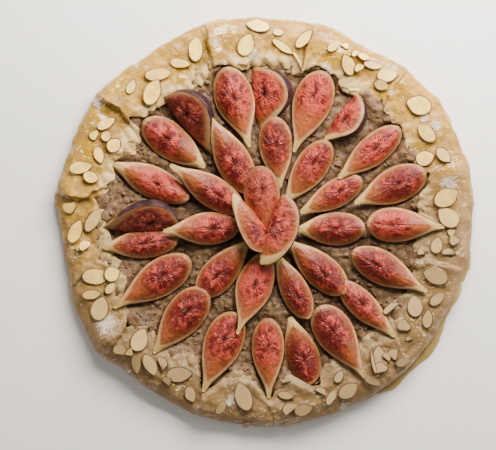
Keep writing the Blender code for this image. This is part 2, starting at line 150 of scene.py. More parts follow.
SMALL_FLAKES = tuple(Flake(*row) for row in (
    (12, 139, 8.5, 6, 0), (15, 129, 19, 6, -35), (26, 118, 15, 3.5, -65, "sliver"),
    (-59, 117, 15.5, 7.5, -5), (-95, 100, 12, 7, 65), (-113, 73, 15.5, 8, 30),
    (-122, 65, 9, 8, 80, "broken"), (-113, 64, 9, 7.5, 60), (-107.5, 57.5, 12, 10.5, 40),
    (-118.5, 50, 13.5, 8, -75), (-124, 34, 12.5, 9, -20), (-139.5, 13, 11, 11, 75, "broken"),
    (-123, 3, 20, 9.5, 60), (-131.5, -17, 9, 6, 20), (-128.5, -15, 12, 7.5, 45, "broken"),
    (-109, -36, 13, 11.5, 20), (-123.5, -51, 15, 7.5, 5), (-110.5, -46.5, 10.5, 6.5, 50),
    (-101.5, -91.5, 13.5, 9, 0, "broken"), (-91.5, -102, 15.5, 7, -80), (-81.5, -102, 17.5, 9.5, -65),
    (-72.5, -102, 12, 9, -75, "broken"), (-68, -114, 9, 6.5, 10, "broken"), (-52, -123.5, 12.5, 9, -70),
    (-30, -134, 10.5, 6.5, 45), (-11, -146, 7.5, 3.6, 30), (17.5, -124.5, 12.5, 6, -10),
    (20.5, -134, 13, 10.5, 35, "broken"), (30.5, -134.5, 14.5, 9.5, 15), (50, -126, 12.5, 6.5, 60),
    (56, -110.5, 10.5, 6.5, 60), (80.5, -114, 15.5, 6.5, -25), (86.5, -104, 13, 9, 20, "broken"),
    (96, -94.5, 11, 9, 10, "broken"), (102, -100, 11.5, 8, 20), (107, -83.5, 6, 5, 0, "broken"),
    (104, -73.5, 12, 10, 10, "broken"), (120.5, -68.5, 14.5, 8, 85), (127, -54.5, 13, 8.5, 40),
    (136, -21, 11.5, 6.5, -8, "broken"), (127, -15, 13, 9.5, 75), (138, -7, 8.5, 7.5, 0, "broken"),
    (140, -11.5, 10, 8.5, 40, "broken"), (116, -21, 6.5, 6, 0, "broken"), (132, 50, 14.5, 9, -45),
    (86.5, 101, 11.5, 8.5, -25), (80.5, 115.5, 14.5, 6.5, -10), (51.5, 128.5, 10, 6.5, 30),
    (68.5, 123.5, 11, 6.5, 15, "broken"), (74, 121.5, 10, 6, -20), (61, 129, 9, 6, 10, "broken"),
    (70.5, 114, 9, 6, 40, "broken"), (91, -96.5, 8.5, 5.5, -30, "broken"),
    (81.5, -99, 20, 5, 98, "sliver"), (94.5, -61, 15, 7, 35, "broken"), (-96, -93, 9, 6, 40, "broken"),
    (43, -122, 10, 6, -35, "broken"),
))


class Fold(NamedTuple):
    """A line on the dough as (bearing, radius) points. A step is high on the left of its line."""

    kind: str
    height: float
    width: float
    path: tuple


FOLDS = tuple(Fold(*row) for row in (
    ("step", 2.4, 11, ((143, 158), (143.5, 148), (142, 135), (143.5, 124))),
    ("ridge", -1.8, 3.2, ((146.5, 158), (146, 148), (146, 140))),
    ("step", 2.0, 11, ((105.5, 156), (107, 145), (108, 132), (109.5, 120), (108, 110))),
    ("step", 1.8, 11, ((75.5, 156), (76, 142), (76.5, 130), (76, 114))),
    ("step", 1.6, 10, ((46, 160), (46.5, 145), (45, 130), (43, 116))),
    ("step", 2.0, 9, ((19, 158), (18.5, 145), (17, 132), (13, 118))),
    ("ridge", 1.4, 5.0, ((15.5, 152), (14.5, 140), (12, 128))),
    ("step", 1.1, 8, ((-9, 142), (-14, 134), (-13, 124), (-16, 114))),
    ("step", 0.9, 8, ((-42, 154), (-44, 141), (-41, 130))),
    ("ridge", 2.2, 3.4, ((-62, 113), (-65, 121), (-70, 127.5), (-75, 126.5), (-79, 121), (-83, 117))),
    ("ridge", -1.0, 3.0, ((-63, 129), (-71, 135), (-78, 132))),
    ("ridge", 1.7, 3.4, ((-109, 148), (-109, 136), (-106, 126), (-101, 121), (-95, 121),
                         (-91, 124), (-88.5, 132))),
    ("ridge", 1.2, 3.0, ((-92, 143), (-90.5, 136), (-86.5, 134), (-84, 140))),
    ("ridge", 1.2, 3.0, ((-128, 124), (-122, 127), (-117, 124))),
    ("ridge", -1.2, 2.2, ((-34, 140), (-29, 134), (-24, 136))),
    ("ridge", 1.3, 3.0, ((-36, 128), (-31, 122), (-26, 121))),
    ("ridge", 1.2, 2.6, ((-56, 126), (-50, 122), (-46, 124))),
    ("step", 1.4, 9, ((-110, 134), (-109, 146), (-109.5, 158))),
    ("step", 0.9, 8, ((-88, 138), (-86, 150), (-86, 157))),
    ("step", 1.1, 8, ((-126, 159), (-125, 150), (-123, 142))),
    ("step", 2.0, 9, ((-141, 161), (-140.5, 148), (-141.5, 135), (-143, 122))),
    ("ridge", 1.8, 8.0, ((-144, 148), (-145, 136))),
    ("step", 2.4, 11, ((170, 157), (172.5, 146), (174, 137), (171, 128), (167, 118))),
    ("step", 1.0, 8, ((-162, 157), (-161, 147), (-164, 136))),
    ("ridge", 1.2, 3.5, ((62, 118), (68, 122), (73, 119))),
    ("ridge", 1.2, 3.5, ((84, 120), (92, 122), (101, 119))),
    ("ridge", 1.1, 3.5, ((112, 117), (120, 121), (130, 119))),
    ("ridge", 1.1, 3.5, ((148, 116), (155, 121), (161, 124))),
    ("ridge", 0.9, 3.5, ((22, 118), (31, 121), (40, 118))),
    ("ridge", -0.9, 5.0, ((-176, 127), (-168, 125))),
))

# Where flour or sugar has stuck to the dough: (x, y, radius).
FLOURED = (
    (-113, -74, 11), (-21, -128, 7), (135, 28, 9), (-33, 132, 6), (-6, 124, 6), (46, 113, 6),
    (118, 78, 5), (126, 72, 5), (-120, 88, 5), (96, 112, 5), (60, -133, 5), (-92, 116, 5),
)
# Where egg wash stands on the dough: (x, y, radius).
WASHED = (
    (-27, 142, 9), (-35, 130, 7), (-104, 105, 9), (-121, 79, 8), (-128, 51, 10), (140, 79, 8),
    (134, 44, 8), (115, 58, 9), (125, -44, 14), (112, -72, 12), (84, -110, 8), (-134, -20, 8),
    (-58, -116, 9), (40, -128, 8), (50, 122, 8), (96, 100, 8), (-62, 108, 8),
)


# ---------------------------------------------------------------- sizes and colours


def length_setting(name, text, default, low, high):
    sizes = {"default": default * MM, "min": low * MM, "max": high * MM}
    return bpy.props.FloatProperty(name=name, description=text, unit="LENGTH", precision=5, **sizes)


def count_setting(name, text, default):
    return bpy.props.IntProperty(name=name, description=text, default=default, min=0, max=2000)


def colour_setting(name, text, default):
    return bpy.props.FloatVectorProperty(
        name=name, description=text, default=default, size=3, min=0.0, max=1.0, subtype="COLOR"
    )


class GaletteSizes(bpy.types.PropertyGroup):
    """Sizes that can be changed before the pieces are made again."""

    dough_detail: length_setting("Dough detail", "Distance between points on the dough", 1.1, 0.6, 4.0)
    dough_lumps: length_setting("Dough lumps", "Depth of the folds' lumps", 1.1, 0.0, 3.0)
    lip_tear: length_setting("Lip raggedness", "How far the torn inner edge wanders", 2.2, 0.0, 4.0)
    crumb_detail: length_setting("Crumb detail", "Distance between points on the filling", 1.2, 0.6, 4.0)
    crumb_depth: length_setting("Crumb depth", "Depth of the filling's clods", 1.5, 0.0, 4.0)
    wedge_detail: length_setting("Fig detail", "Distance between points on a fig wedge", 0.8, 0.5, 3.0)
    pith: length_setting("Pith", "Width of the pale band under a fig's skin", 1.7, 0.5, 6.0)
    flake: length_setting("Flake thickness", "Thickness of an almond slice", 1.1, 0.5, 3.0)
    loose_crumbs: count_setting("Loose crumbs", "How many crumbs lie on the filling", 420)
    # grains also counts the white specks over the rim that are painted glints
    grains: count_setting("Sugar grains", "How many grains lie on the floured dough", 650)


class GaletteColours(bpy.types.PropertyGroup):
    """Colours of the surfaces."""

    dough: colour_setting("Dough", "Raw dough", (0.37, 0.19, 0.021))
    dough_deep: colour_setting(
        "Dough in folds", "Raw dough where it is thick or shaded", (0.27, 0.134, 0.015)
    )
    wash: colour_setting("Egg wash", "Egg wash standing on the dough", (0.375, 0.19, 0.005))
    film: colour_setting("Spilt egg wash", "Colour of the egg wash on the floor", (0.50, 0.33, 0.095))
    flour: colour_setting("Flour", "Flour and sugar on the dough", (0.6, 0.47, 0.34))
    crumb: colour_setting("Crumb", "The filling's crumb", (0.103, 0.053, 0.0195))
    # painted shade, laid in the gaps between the clods
    crumb_shade: colour_setting("Crumb in gaps", "The filling between clods", (0.059, 0.025, 0.0095))
    flesh: colour_setting("Flesh", "Fig flesh", (0.095, 0.0048, 0.0032))
    fibre: colour_setting("Fibre", "Pale fibres and seeds in the flesh", (0.395, 0.044, 0.026))
    outer_flesh: colour_setting("Outer flesh", "Flesh next to the pith", (0.175, 0.046, 0.012))
    core: colour_setting("Core", "The hollow in the middle of a fig", (0.042, 0.0022, 0.0022))
    pith: colour_setting("Pith", "The pale band under the skin", (0.43, 0.215, 0.09))
    stem: colour_setting("Stem", "The stem end", (0.44, 0.285, 0.085))
    skin: colour_setting("Skin", "Ripe fig skin", (0.018, 0.006, 0.008))
    skin_bloom: colour_setting("Bloom", "The paler bloom on the skin", (0.065, 0.028, 0.03))
    almond: colour_setting("Almond", "The cut face of a slice", (0.95, 0.61, 0.095))
    # brown skin, which along one side of a slice also stands for its painted shadow
    almond_skin: colour_setting("Almond skin", "The brown skin at a slice's edge", (0.075, 0.028, 0.01))
    floor: colour_setting("Floor", "The surface it stands on", (0.84, 0.785, 0.715))


# ---------------------------------------------------------------- materials


class Link:
    """A node's output. Arithmetic on it adds Math nodes."""

    def __init__(self, finish, socket):
        self.finish = finish
        self.socket = socket

    def math(self, operation, *terms):
        return self.finish.node("ShaderNodeMath", {"operation": operation}, dict(enumerate(terms)))

    def __add__(self, other):
        return self.math("ADD", self, other)

    def __sub__(self, other):
        return self.math("SUBTRACT", self, other)

    def __rsub__(self, other):
        return self.math("SUBTRACT", other, self)

    def __mul__(self, other):
        return self.math("MULTIPLY", self, other)

    def __truediv__(self, other):
        return self.math("DIVIDE", self, other)

    def __pow__(self, other):
        return self.math("POWER", self, other)

    __radd__ = __add__
    __rmul__ = __mul__

    def clamp(self):
        return self.math("MAXIMUM", self.math("MINIMUM", self, 1.0), 0.0)

    def between(self, low, high):
        """0 where this is at low, 1 where it is at high, smooth between. High may be the smaller number."""
        if high < low:
            return 1 - self.between(high, low)
        settings = {"interpolation_type": "SMOOTHSTEP"}
        inputs = {"Value": self, "From Min": low, "From Max": high}
        return self.finish.node("ShaderNodeMapRange", settings, inputs)


class Finish:
    """A material, whose nodes all come from one generic method."""

    def __init__(self, name):
        self.material = bpy.data.materials.new(name)
        self.material.use_nodes = True
        self.tree = self.material.node_tree
        self.tree.nodes.clear()

    def node(self, kind, settings=None, inputs=None, output=0):
        """Adds a node. Its settings come first, then its sockets by name or number; returns one output."""
        made = self.tree.nodes.new(kind)
        for key, value in (settings or {}).items():
            setattr(made, key, value)
        for key, value in (inputs or {}).items():
            if isinstance(value, Link):
                self.tree.links.new(value.socket, made.inputs[key])
            else:
                made.inputs[key].default_value = value
        return Link(self, made.outputs[output])

    def place(self):
        return self.node("ShaderNodeTexCoord", output="Object")

    def attribute(self, name, output="Fac"):
        return self.node("ShaderNodeAttribute", {"attribute_name": name}, output=output)

    def noise(self, at, scale, detail=3.0, rough=0.55, warp=0.0):
        inputs = {"Vector": at, "Scale": scale, "Detail": detail, "Roughness": rough, "Distortion": warp}
        return self.node("ShaderNodeTexNoise", None, inputs)

    def vector(self, x, y, z):
        return self.node("ShaderNodeCombineXYZ", None, {"X": x, "Y": y, "Z": z})

    def stretch(self, at, factors):
        return self.node("ShaderNodeVectorMath", {"operation": "MULTIPLY"}, {0: at, 1: factors})

    def parts(self, at):
        made = self.node("ShaderNodeSeparateXYZ", None, {"Vector": at}).socket.node
        return [Link(self, out) for out in made.outputs]

    def mix(self, factor, first, second):
        """Two colours, the first where the factor is 0."""
        first, second = (c if isinstance(c, Link) else (*c, 1.0) for c in (first, second))
        return self.node("ShaderNodeMix", {"data_type": "RGBA"}, {0: factor, 6: first, 7: second}, output=2)

    def layers(self, colour, *coats):
        """A colour with others laid over it in turn, each given as its cover and its colour."""
        for cover, coat in coats:
            colour = self.mix(cover, colour, coat)
        return colour

    def bump(self, height, depth, strength):
        inputs = {"Height": height, "Distance": depth * MM, "Strength": strength}
        return self.node("ShaderNodeBump", None, inputs)

    def surface(self, **sockets):
        """Ends the material in a Principled surface, with its sockets given by their names."""
        named = {key.replace("_", " ").title().replace("Ior", "IOR"): value for key, value in sockets.items()}
        shader = self.node("ShaderNodeBsdfPrincipled", None, named)
        end = self.tree.nodes.new("ShaderNodeOutputMaterial")
        self.tree.links.new(shader.socket, end.inputs["Surface"])
        return self.material


def scaled(colour, factor):
    return tuple(min(1.0, factor * x) for x in colour)


def dough_finish(c):
    f = Finish("egg_washed_dough")
    at = f.place()
    mottle = f.noise(at, 75.0, 5.0, 0.62)
    curds = f.noise(at, 210.0, 4.0, 0.60, 0.25)
    patches = f.noise(at, 24.0, 3.0)
    fine = f.noise(at, 520.0, 4.0, 0.65)
    streaks = f.noise(f.stretch(at, (1.0, 2.0, 1.0)), 240.0, 3.0, 0.55, 0.8)
    crease = f.attribute("crease")
    raw = (f.attribute("raw") + (mottle - 0.5) * 2.2).between(0.30, 0.85)
    wet = (f.attribute("wash") + crease * 0.5 + (patches - 0.5) * 1.6 + (mottle - 0.5)).between(0.25, 0.75)
    hem = (f.attribute("hem") + (curds - 0.5) * 0.8).between(0.25, 1.0)
    # the colour of the painted shade on the side away from the window, lighter on the outer flank
    shaded = f.mix(f.attribute("flank"), (0.162, 0.098, 0.045), (0.235, 0.140, 0.068))
    # painted highlights: near-white streaks where the wet egg wash would catch the lamp
    painted_highlight = streaks.between(0.575, 0.665) * (wet * 0.8 + 0.15)
    dusty = (f.attribute("flour") * 0.85 + (fine - 0.5) * 2.0 + (mottle - 0.5) * 1.6).between(0.40, 0.80)
    colour = f.layers(
        f.mix(patches.between(0.36, 0.62), c.dough, c.dough_deep),
        (mottle.between(0.44, 0.66) * 0.70, scaled(c.dough, 1.40)),
        # painted shade in the hollows between the curds, and painted light on their crests
        (curds.between(0.50, 0.36) * 0.50, (0.19, 0.095, 0.022)),
        (curds.between(0.56, 0.68) * 0.45, (0.58, 0.38, 0.11)),
        (raw * 0.60, (0.58, 0.415, 0.17)),
        (wet * 0.85, c.wash),
        # painted shade in the creases of the folds
        ((crease * 1.1).between(0.25, 1.0) * 0.65, (0.12, 0.06, 0.018)),
        # painted shade: the dough darkens towards the bottom of the picture, away from the window lamp
        (f.attribute("dull") * 0.76, shaded),
        (hem * 0.35, (0.22, 0.115, 0.028)),
        (painted_highlight * 0.62, (0.92, 0.78, 0.44)),
        (dusty * 0.72, c.flour),
    )
    rough = 0.46 - wet * 0.18 + dusty * 0.34 + (mottle - 0.5) * 0.25
    height = mottle * 1.2 + curds * 0.9 + fine * 0.22 + dusty * fine * 0.9
    return f.surface(
        base_color=colour, roughness=rough, specular_ior_level=0.25, normal=f.bump(height, 1.3, 0.8),
        coat_weight=wet * 0.75, coat_roughness=0.09,
    )


def crumb_finish(c):
    f = Finish("crumb")
    at = f.place()
    clods = f.noise(at, 150.0, 5.0, 0.65)
    grains = f.noise(at, 480.0, 3.0, 0.7)
    # painted shade in the gaps between the clods
    shade = (f.attribute("hollow") + (0.5 - clods)).between(0.30, 1.10)
    # painted light on the clods' tops, paler towards the rim
    lit = (clods.between(0.46, 0.62) * 0.5 + f.attribute("pale") * 0.28 - shade * 0.25).clamp()
    light = scaled(c.crumb, 1.9)
    colour = f.layers(
        c.crumb, (shade * 0.9, c.crumb_shade), (lit, light), (grains.between(0.54, 0.72) * 0.4, light)
    )
    return f.surface(
        base_color=colour, roughness=0.58 + (grains - 0.5) * 0.3, specular_ior_level=0.35,
        normal=f.bump(clods * 0.8 + grains * 0.35, 1.2, 0.8),
    )


def fig_finish(c):
    """Skin outside, and on the cut faces pith, outer flesh, fibres with seeds, and the hollow core, with
    painted glints near the core and painted shade on some faces.
    """
    f = Finish("cut_fig")
    x, y, seed = f.parts(f.attribute("flesh_at", "Vector"))
    inside = f.attribute("flesh_in")
    cut = f.attribute("cut")
    tone = f.attribute("tone")
    from_stem = f.attribute("from_stem")
    reach = (x * x + y * y + 0.3) ** 0.5
    broad = f.noise(f.vector(x * 0.10, y * 0.10, seed), 1.6, 2.0)
    drift = f.noise(f.vector(x * 0.25, y * 0.25, seed + 9.0), 1.0, 2.0)
    tangle = f.noise(f.vector(x, y, seed + 4.0), 0.42, 3.0, 0.6, 1.2)
    fine = f.noise(f.vector(x, y, seed + 7.0), 1.1, 2.0, 0.6)
    turn_x = x / reach + (drift - 0.5) * 0.45
    turn_y = y / reach + (drift - 0.5) * 0.30 + (tangle - 0.5) * 0.12
    strands = f.noise(f.vector(turn_x, turn_y, reach * 0.026 + seed), 4.0, 2.0, 0.5)
    threads = f.noise(f.vector(turn_x, turn_y, reach * 0.036 + seed + 2.0), 7.4, 2.0, 0.5)
    near = (reach + (broad - 0.5) * 8.0).between(15.0, 4.0)
    filaments = (strands - 0.5) * 1.5 + (threads - 0.5) * 1.2
    ragged = filaments * (0.35 + near * 0.75) + ((tangle - 0.5) * 0.7 + (fine - 0.5) * 0.5) * (1 - near * 0.6)
    shade = (broad - 0.5) * 1.8 + (drift - 0.5) * 0.7 + tone * 0.45
    bright = (ragged * 0.85 + shade).between(-0.28, 0.32)
    lush = (x + (broad - 0.5) * 18.0 + ragged * 7.0).between(-23.0, -6.0)
    round_core = (reach + (broad - 0.5) * 12.0 + ragged * 6.0).between(22.0, 10.0)
    zone = (inside + (broad - 0.5) * 6.0 + ragged * 3.0).between(0.8, 5.0) * lush * (0.35 + round_core * 0.65)
    to_stem = (x + (broad - 0.5) * 12.0 + ragged * 7.0).between(-8.0, -26.0)
    near_pith = (inside + ragged * 3.0 + (broad - 0.5) * 8.0 + tone * 2.0).between(5.4, 0.5)
    hollow = (f.attribute("core") + filaments * 0.55).between(0.26, 0.70)
    # painted highlights: pinkish-white glints of wet flesh near the core
    painted_glints = (tangle.between(0.60, 0.72) * reach.between(12.0, 2.0) * (1 - hollow)).clamp()
    flesh = f.layers(
        f.mix(bright * 0.8, (0.110, 0.013, 0.0042), (0.30, 0.064, 0.016)),
        (to_stem * 0.75, (0.27, 0.072, 0.018)),
        (zone * 0.92, f.mix(bright, c.flesh, c.fibre)),
        (near_pith * 0.88, f.mix(bright * 0.8, c.outer_flesh, (0.32, 0.112, 0.036))),
        (hollow * 0.88, c.core),
        (painted_glints * 0.8, (0.88, 0.25, 0.16)),
    )
    at_blossom = (f.attribute("to_blossom") + (broad - 0.5) * 6.0).between(9.0, 1.0)
    pith = f.layers(
        f.mix(broad.between(0.38, 0.62) * 0.6, c.pith, (0.38, 0.150, 0.050)),
        (at_blossom * 0.8, (0.23, 0.100, 0.034)),
        (from_stem.between(15.0, 3.0), c.stem),
    )
    edge = (inside + ragged * 2.4 + (broad - 0.5) * 4.0).between(-2.1, 2.5)
    # painted shade: the cut faces of some wedges darkened and browned
    face_in_shade = f.mix(edge, (0.15, 0.062, 0.022), f.mix(bright, (0.080, 0.009, 0.006), (0.24, 0.045, 0.022)))
    face = f.layers(pith, (edge, flesh), (f.attribute("dusk"), face_in_shade))
    bloom = f.noise(f.place(), 120.0, 5.0, 0.65)
    skin = f.mix(bloom.between(0.42, 0.72), c.skin, c.skin_bloom)
    skin = f.mix(from_stem.between(13.0, 4.0), skin, (0.30, 0.20, 0.055))
    return f.surface(
        base_color=f.mix(cut.between(0.30, 0.62), skin, face),
        roughness=0.50 - edge * cut * 0.14 + (threads - 0.5) * 0.25, specular_ior_level=0.25,
        normal=f.bump(ragged * edge * (0.4 + zone) + bloom * 0.08, 0.9, 0.9),
    )


def almond_finish(c):
    f = Finish("sliced_almond")
    at = f.place()
    grain = f.noise(at, 260.0, 4.0, 0.6)
    cloud = f.noise(at, 110.0, 3.0)
    colour = f.layers(
        f.mix(cloud.between(0.36, 0.62) * 0.6, c.almond, (0.52, 0.32, 0.10)),
        ((f.attribute("tint") - 0.45).clamp() * 0.9, (0.33, 0.215, 0.12)),
        # painted shade towards the lower right, where less light falls
        (f.attribute("dull") * 0.85, (0.29, 0.19, 0.095)),
        # brown skin at the edge, widened on one side as painted shadow
        ((f.attribute("edge") + (grain - 0.5) * 0.5).between(0.15, 0.50) * 0.95, c.almond_skin),
    )
    return f.surface(
        base_color=colour, roughness=0.5 + (grain - 0.5) * 0.2, specular_ior_level=0.35,
        normal=f.bump(grain * 0.5 + cloud, 0.3, 0.5),
    )


def grain_finish(c):
    f = Finish("sugar_and_glint_speck")
    cloud = f.noise(f.place(), 300.0, 2.0)
    colour = f.mix(cloud, c.flour, (0.92, 0.88, 0.80))
    return f.surface(base_color=colour, roughness=0.3 + (cloud - 0.5) * 0.2)


def wash_finish(c):
    f = Finish("egg_wash_film")
    cloud = f.noise(f.place(), 45.0, 3.0)
    colour = f.mix(cloud.between(0.35, 0.70), c.film, scaled(c.film, 0.7))
    return f.surface(base_color=colour, roughness=0.14 + cloud * 0.1, coat_weight=0.5, coat_roughness=0.08)


def floor_finish(c):
    f = Finish("pale_floor")
    cloud = f.noise(f.place(), 9.0, 3.0)
    colour = f.mix(cloud.between(0.3, 0.7), c.floor, scaled(c.floor, 0.955))
    return f.surface(base_color=colour, roughness=0.75)


# ---------------------------------------------------------------- mesh helpers

DROP_HEIGHT = 100.0  # above everything


def read_points(mesh, what):
    values = np.empty(len(mesh.vertices) * 3)
    mesh.vertices.foreach_get(what, values)
    return values.reshape(-1, 3)


def points_of(mesh):
    """A mesh's points, in millimetres."""
    return read_points(mesh, "co") / MM


def normals_of(mesh):
    return read_points(mesh, "normal")


def cad_points(node):
    return points_of(frame["nodes"][node].data)


def set_points(mesh, points):
    mesh.vertices.foreach_set("co", (points * MM).ravel())
    mesh.update()


def add_values(mesh, **fields):
    """Stores numbers or vectors for the material, one for each point or one for them all."""
    for name, values in fields.items():
        flat = np.asarray(values, float)
        if flat.ndim == 0:
            flat = np.full(len(mesh.vertices), flat)
        kind, slot = ("FLOAT", "value") if flat.ndim == 1 else ("FLOAT_VECTOR", "vector")
        mesh.attributes.new(name, kind, "POINT").data.foreach_set(slot, flat.ravel())


def plan_radius(points):
    return np.hypot(points[:, 0], points[:, 1])


def smooth_step(values, low, high):
    share = np.clip((values - low) / (high - low), 0.0, 1.0)
    return share * share * (3 - 2 * share)


def rough_field(points, size, octaves=3, seed=0.0):
    """Smooth noise from about -1 to 1 at each point, with bumps of about this size."""
    shift = Vector((seed * 17.3, seed * 5.1, seed * 9.7))
    return np.array([noise.fractal(Vector(p) / size + shift, 1.0, 2.0, octaves) for p in points])


def cell_field(points, size, seed=0.0):
    """0 in the middle of a clod and towards 1 at the gap to the next."""
    shift = Vector((seed * 7.7, seed * 3.3, seed))
    values = []
    for p in points:
        near, _ = noise.voronoi(Vector(p) / size + shift)
        values.append(1.0 - min(1.0, (near[1] - near[0]) * 1.8))
    return np.array(values)


def link_object(name, data):
    made = bpy.data.objects.new(name, data)
    bpy.context.scene.collection.objects.link(made)
    return made


def add_primitive(name, operator, **settings):
    """Adds one of Blender's primitives, with nothing else selected."""
    bpy.ops.object.select_all(action="DESELECT")
    operator(**settings)
    made = bpy.context.object
    made.name = name
    return made


def select_only(piece):
    bpy.ops.object.select_all(action="DESELECT")
    piece.select_set(True)
    bpy.context.view_layer.objects.active = piece


@contextmanager
def editing(piece, keep=False):
    """Edit mode on one piece, with all of it selected unless its selection is kept."""
    select_only(piece)
    bpy.ops.object.mode_set(mode="EDIT")
    if not keep:
        bpy.ops.mesh.select_all(action="SELECT")
    yield
    bpy.ops.object.mode_set(mode="OBJECT")


def apply_modifier(piece, kind, **settings):
    select_only(piece)
    made = piece.modifiers.new(kind.title(), kind)
    for key, value in settings.items():
        setattr(made, key, value)
    bpy.ops.object.modifier_apply(modifier=made.name)


def remesh(piece, detail, smoothings=0):
    """Rebuilds a piece's surface from even little faces, and evens out their steps."""
    select_only(piece)
    piece.data.remesh_voxel_size = detail
    piece.data.remesh_voxel_adaptivity = 0.0
    bpy.ops.object.voxel_remesh()
    if smoothings:
        apply_modifier(piece, "SMOOTH", factor=0.5, iterations=smoothings)


def bring_home(piece):
    """Puts an object's place into its mesh and leaves the object itself at the origin."""
    select_only(piece)
    bpy.ops.object.transform_apply(location=True, rotation=True, scale=True)


def copy_of_node(node, name):
    """A copy of a CAD solid, its loose triangles merged into one closed skin."""
    made = link_object(name, frame["nodes"][node].data.copy())
    made.data.materials.clear()
    select_only(made)
    bpy.ops.mesh.customdata_custom_splitnormals_clear()
    with editing(made):
        bpy.ops.mesh.remove_doubles(threshold=0.01 * MM)
    return made


def flatten_hidden(piece, chosen):
    """Swaps each flat patch of chosen points for one wide face, where nothing of it is seen."""
    mesh = piece.data
    with editing(piece):
        bpy.ops.mesh.select_mode(type="FACE")
        bpy.ops.mesh.select_all(action="DESELECT")
    corners = np.empty(len(mesh.loops), int)
    mesh.loops.foreach_get("vertex_index", corners)
    starts = np.empty(len(mesh.polygons), int)
    mesh.polygons.foreach_get("loop_start", starts)
    mesh.polygons.foreach_set("select", np.logical_and.reduceat(chosen[corners], starts))
    with editing(piece, keep=True):
        bpy.ops.mesh.delete(type="FACE")
        bpy.ops.mesh.select_all(action="SELECT")
        bpy.ops.mesh.fill_holes(sides=0)


def finish_piece(piece, material, slot, *nodes, smooth=True):
    """Gives a piece its shading, its material and its place in the frame."""
    if smooth:
        select_only(piece)
        bpy.ops.object.shade_smooth()
    piece.data.materials.clear()
    piece.data.materials.append(material)
    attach(piece, "root")
    if nodes:
        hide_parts(*nodes)


def tree_of(pieces):
    """One ray-casting tree over several pieces, in millimetres, and each face's piece."""
    points, faces, owners = [], [], []
    for number, piece in enumerate(pieces):
        start = len(points)
        points += [tuple(p) for p in points_of(piece.data)]
        for face in piece.data.polygons:
            faces.append([start + v for v in face.vertices])
            owners.append(number)
    return BVHTree.FromPolygons(points, faces), owners


def drop(tree, x, y):
    """Where a straight fall from above lands: (point, normal, face)."""
    return tree.ray_cast(Vector((x, y, DROP_HEIGHT)), Vector((0, 0, -1)))[:3]


def polar_point(bearing, radius):
    turn = math.radians(bearing)
    return np.array((radius * math.cos(turn), radius * math.sin(turn)))


# ---------------------------------------------------------------- the dough

BASE_TOP = 3.2  # height of the dough under the filling
STEP_FOOT = 2.2  # how far the dip at the low side of a fold's step reaches
FLATTENED = np.array((1, 1, 0.4))  # noise of the filling, drawn out upwards


def spots(points, rows):
    """How near each point is to the middle of a spot, from 0 outside them to 1."""
    near = np.zeros(len(points))
    for x, y, radius in rows:
        gap = np.hypot(points[:, 0] - x, points[:, 1] - y) / radius
        near = np.maximum(near, 1 - smooth_step(gap, 0.35, 1.25))
    return near


def beside_path(spots_xy, path):
    """Each spot's distance to a line of (bearing, radius) points, above 0 on its left."""
    best = np.full(len(spots_xy), 1e9)
    signed = np.zeros(len(spots_xy))
    stops = [polar_point(*stop) for stop in path]
    for first, second in zip(stops, stops[1:]):
        run = second - first
        offset = spots_xy - first
        share = np.clip(offset @ run / (run @ run), 0.0, 1.0)
        gap = np.linalg.norm(offset - share[:, None] * run, axis=1)
        left = np.sign(run[0] * offset[:, 1] - run[1] * offset[:, 0])
        nearer = gap < best
        best = np.where(nearer, gap, best)
        signed = np.where(nearer, gap * left, signed)
    return signed


def off_figs(points, shift):
    """How far each point is, in plan, outside the nearest fig."""
    best = np.full(len(points), 1e9)
    for _, wedge in laid_wedges():
        stem = np.array(wedge.stem[:2]) + shift[:2]
        run = np.array(wedge.blossom[:2]) + shift[:2] - stem
        offset = points[:, :2] - stem
        t = np.clip(offset @ run / (run @ run), 0.0, 1.0)
        gap = np.hypot(*(offset - t[:, None] * run).T)
        best = np.minimum(best, gap - wedge_radius(wedge, t) * math.sin(half_angle_of(wedge)))
    return best


def fold_relief(points):
    """The height that the folds add at each point, and how deep in a crease it is."""
    wobble = np.column_stack([rough_field(points, 9.0, 2, seed) for seed in (21.0, 22.0)])
    spots_xy = points[:, :2] + wobble * 1.6
    rise = np.zeros(len(points))
    crease = np.zeros(len(points))
    for fold in FOLDS:
        gap = beside_path(spots_xy, fold.path)
        if fold.kind == "ridge":
            rise += fold.height * np.exp(-((gap / fold.width) ** 2))
            continue
        left, right = np.maximum(gap, 0.0), np.minimum(gap, 0.0)
        high = np.exp(-left / fold.width) * smooth_step(gap, -0.9, 0.5)
        low = np.exp(right / STEP_FOOT) * (gap < 0)
        ends = smooth_step(np.abs(gap), 40.0, 0.0)
        rise += fold.height * (high - 0.35 * low) * ends
        crease = np.maximum(crease, np.exp(-((right / 1.7) ** 2)) * np.exp(-((left / 0.5) ** 2)))
    return rise, crease


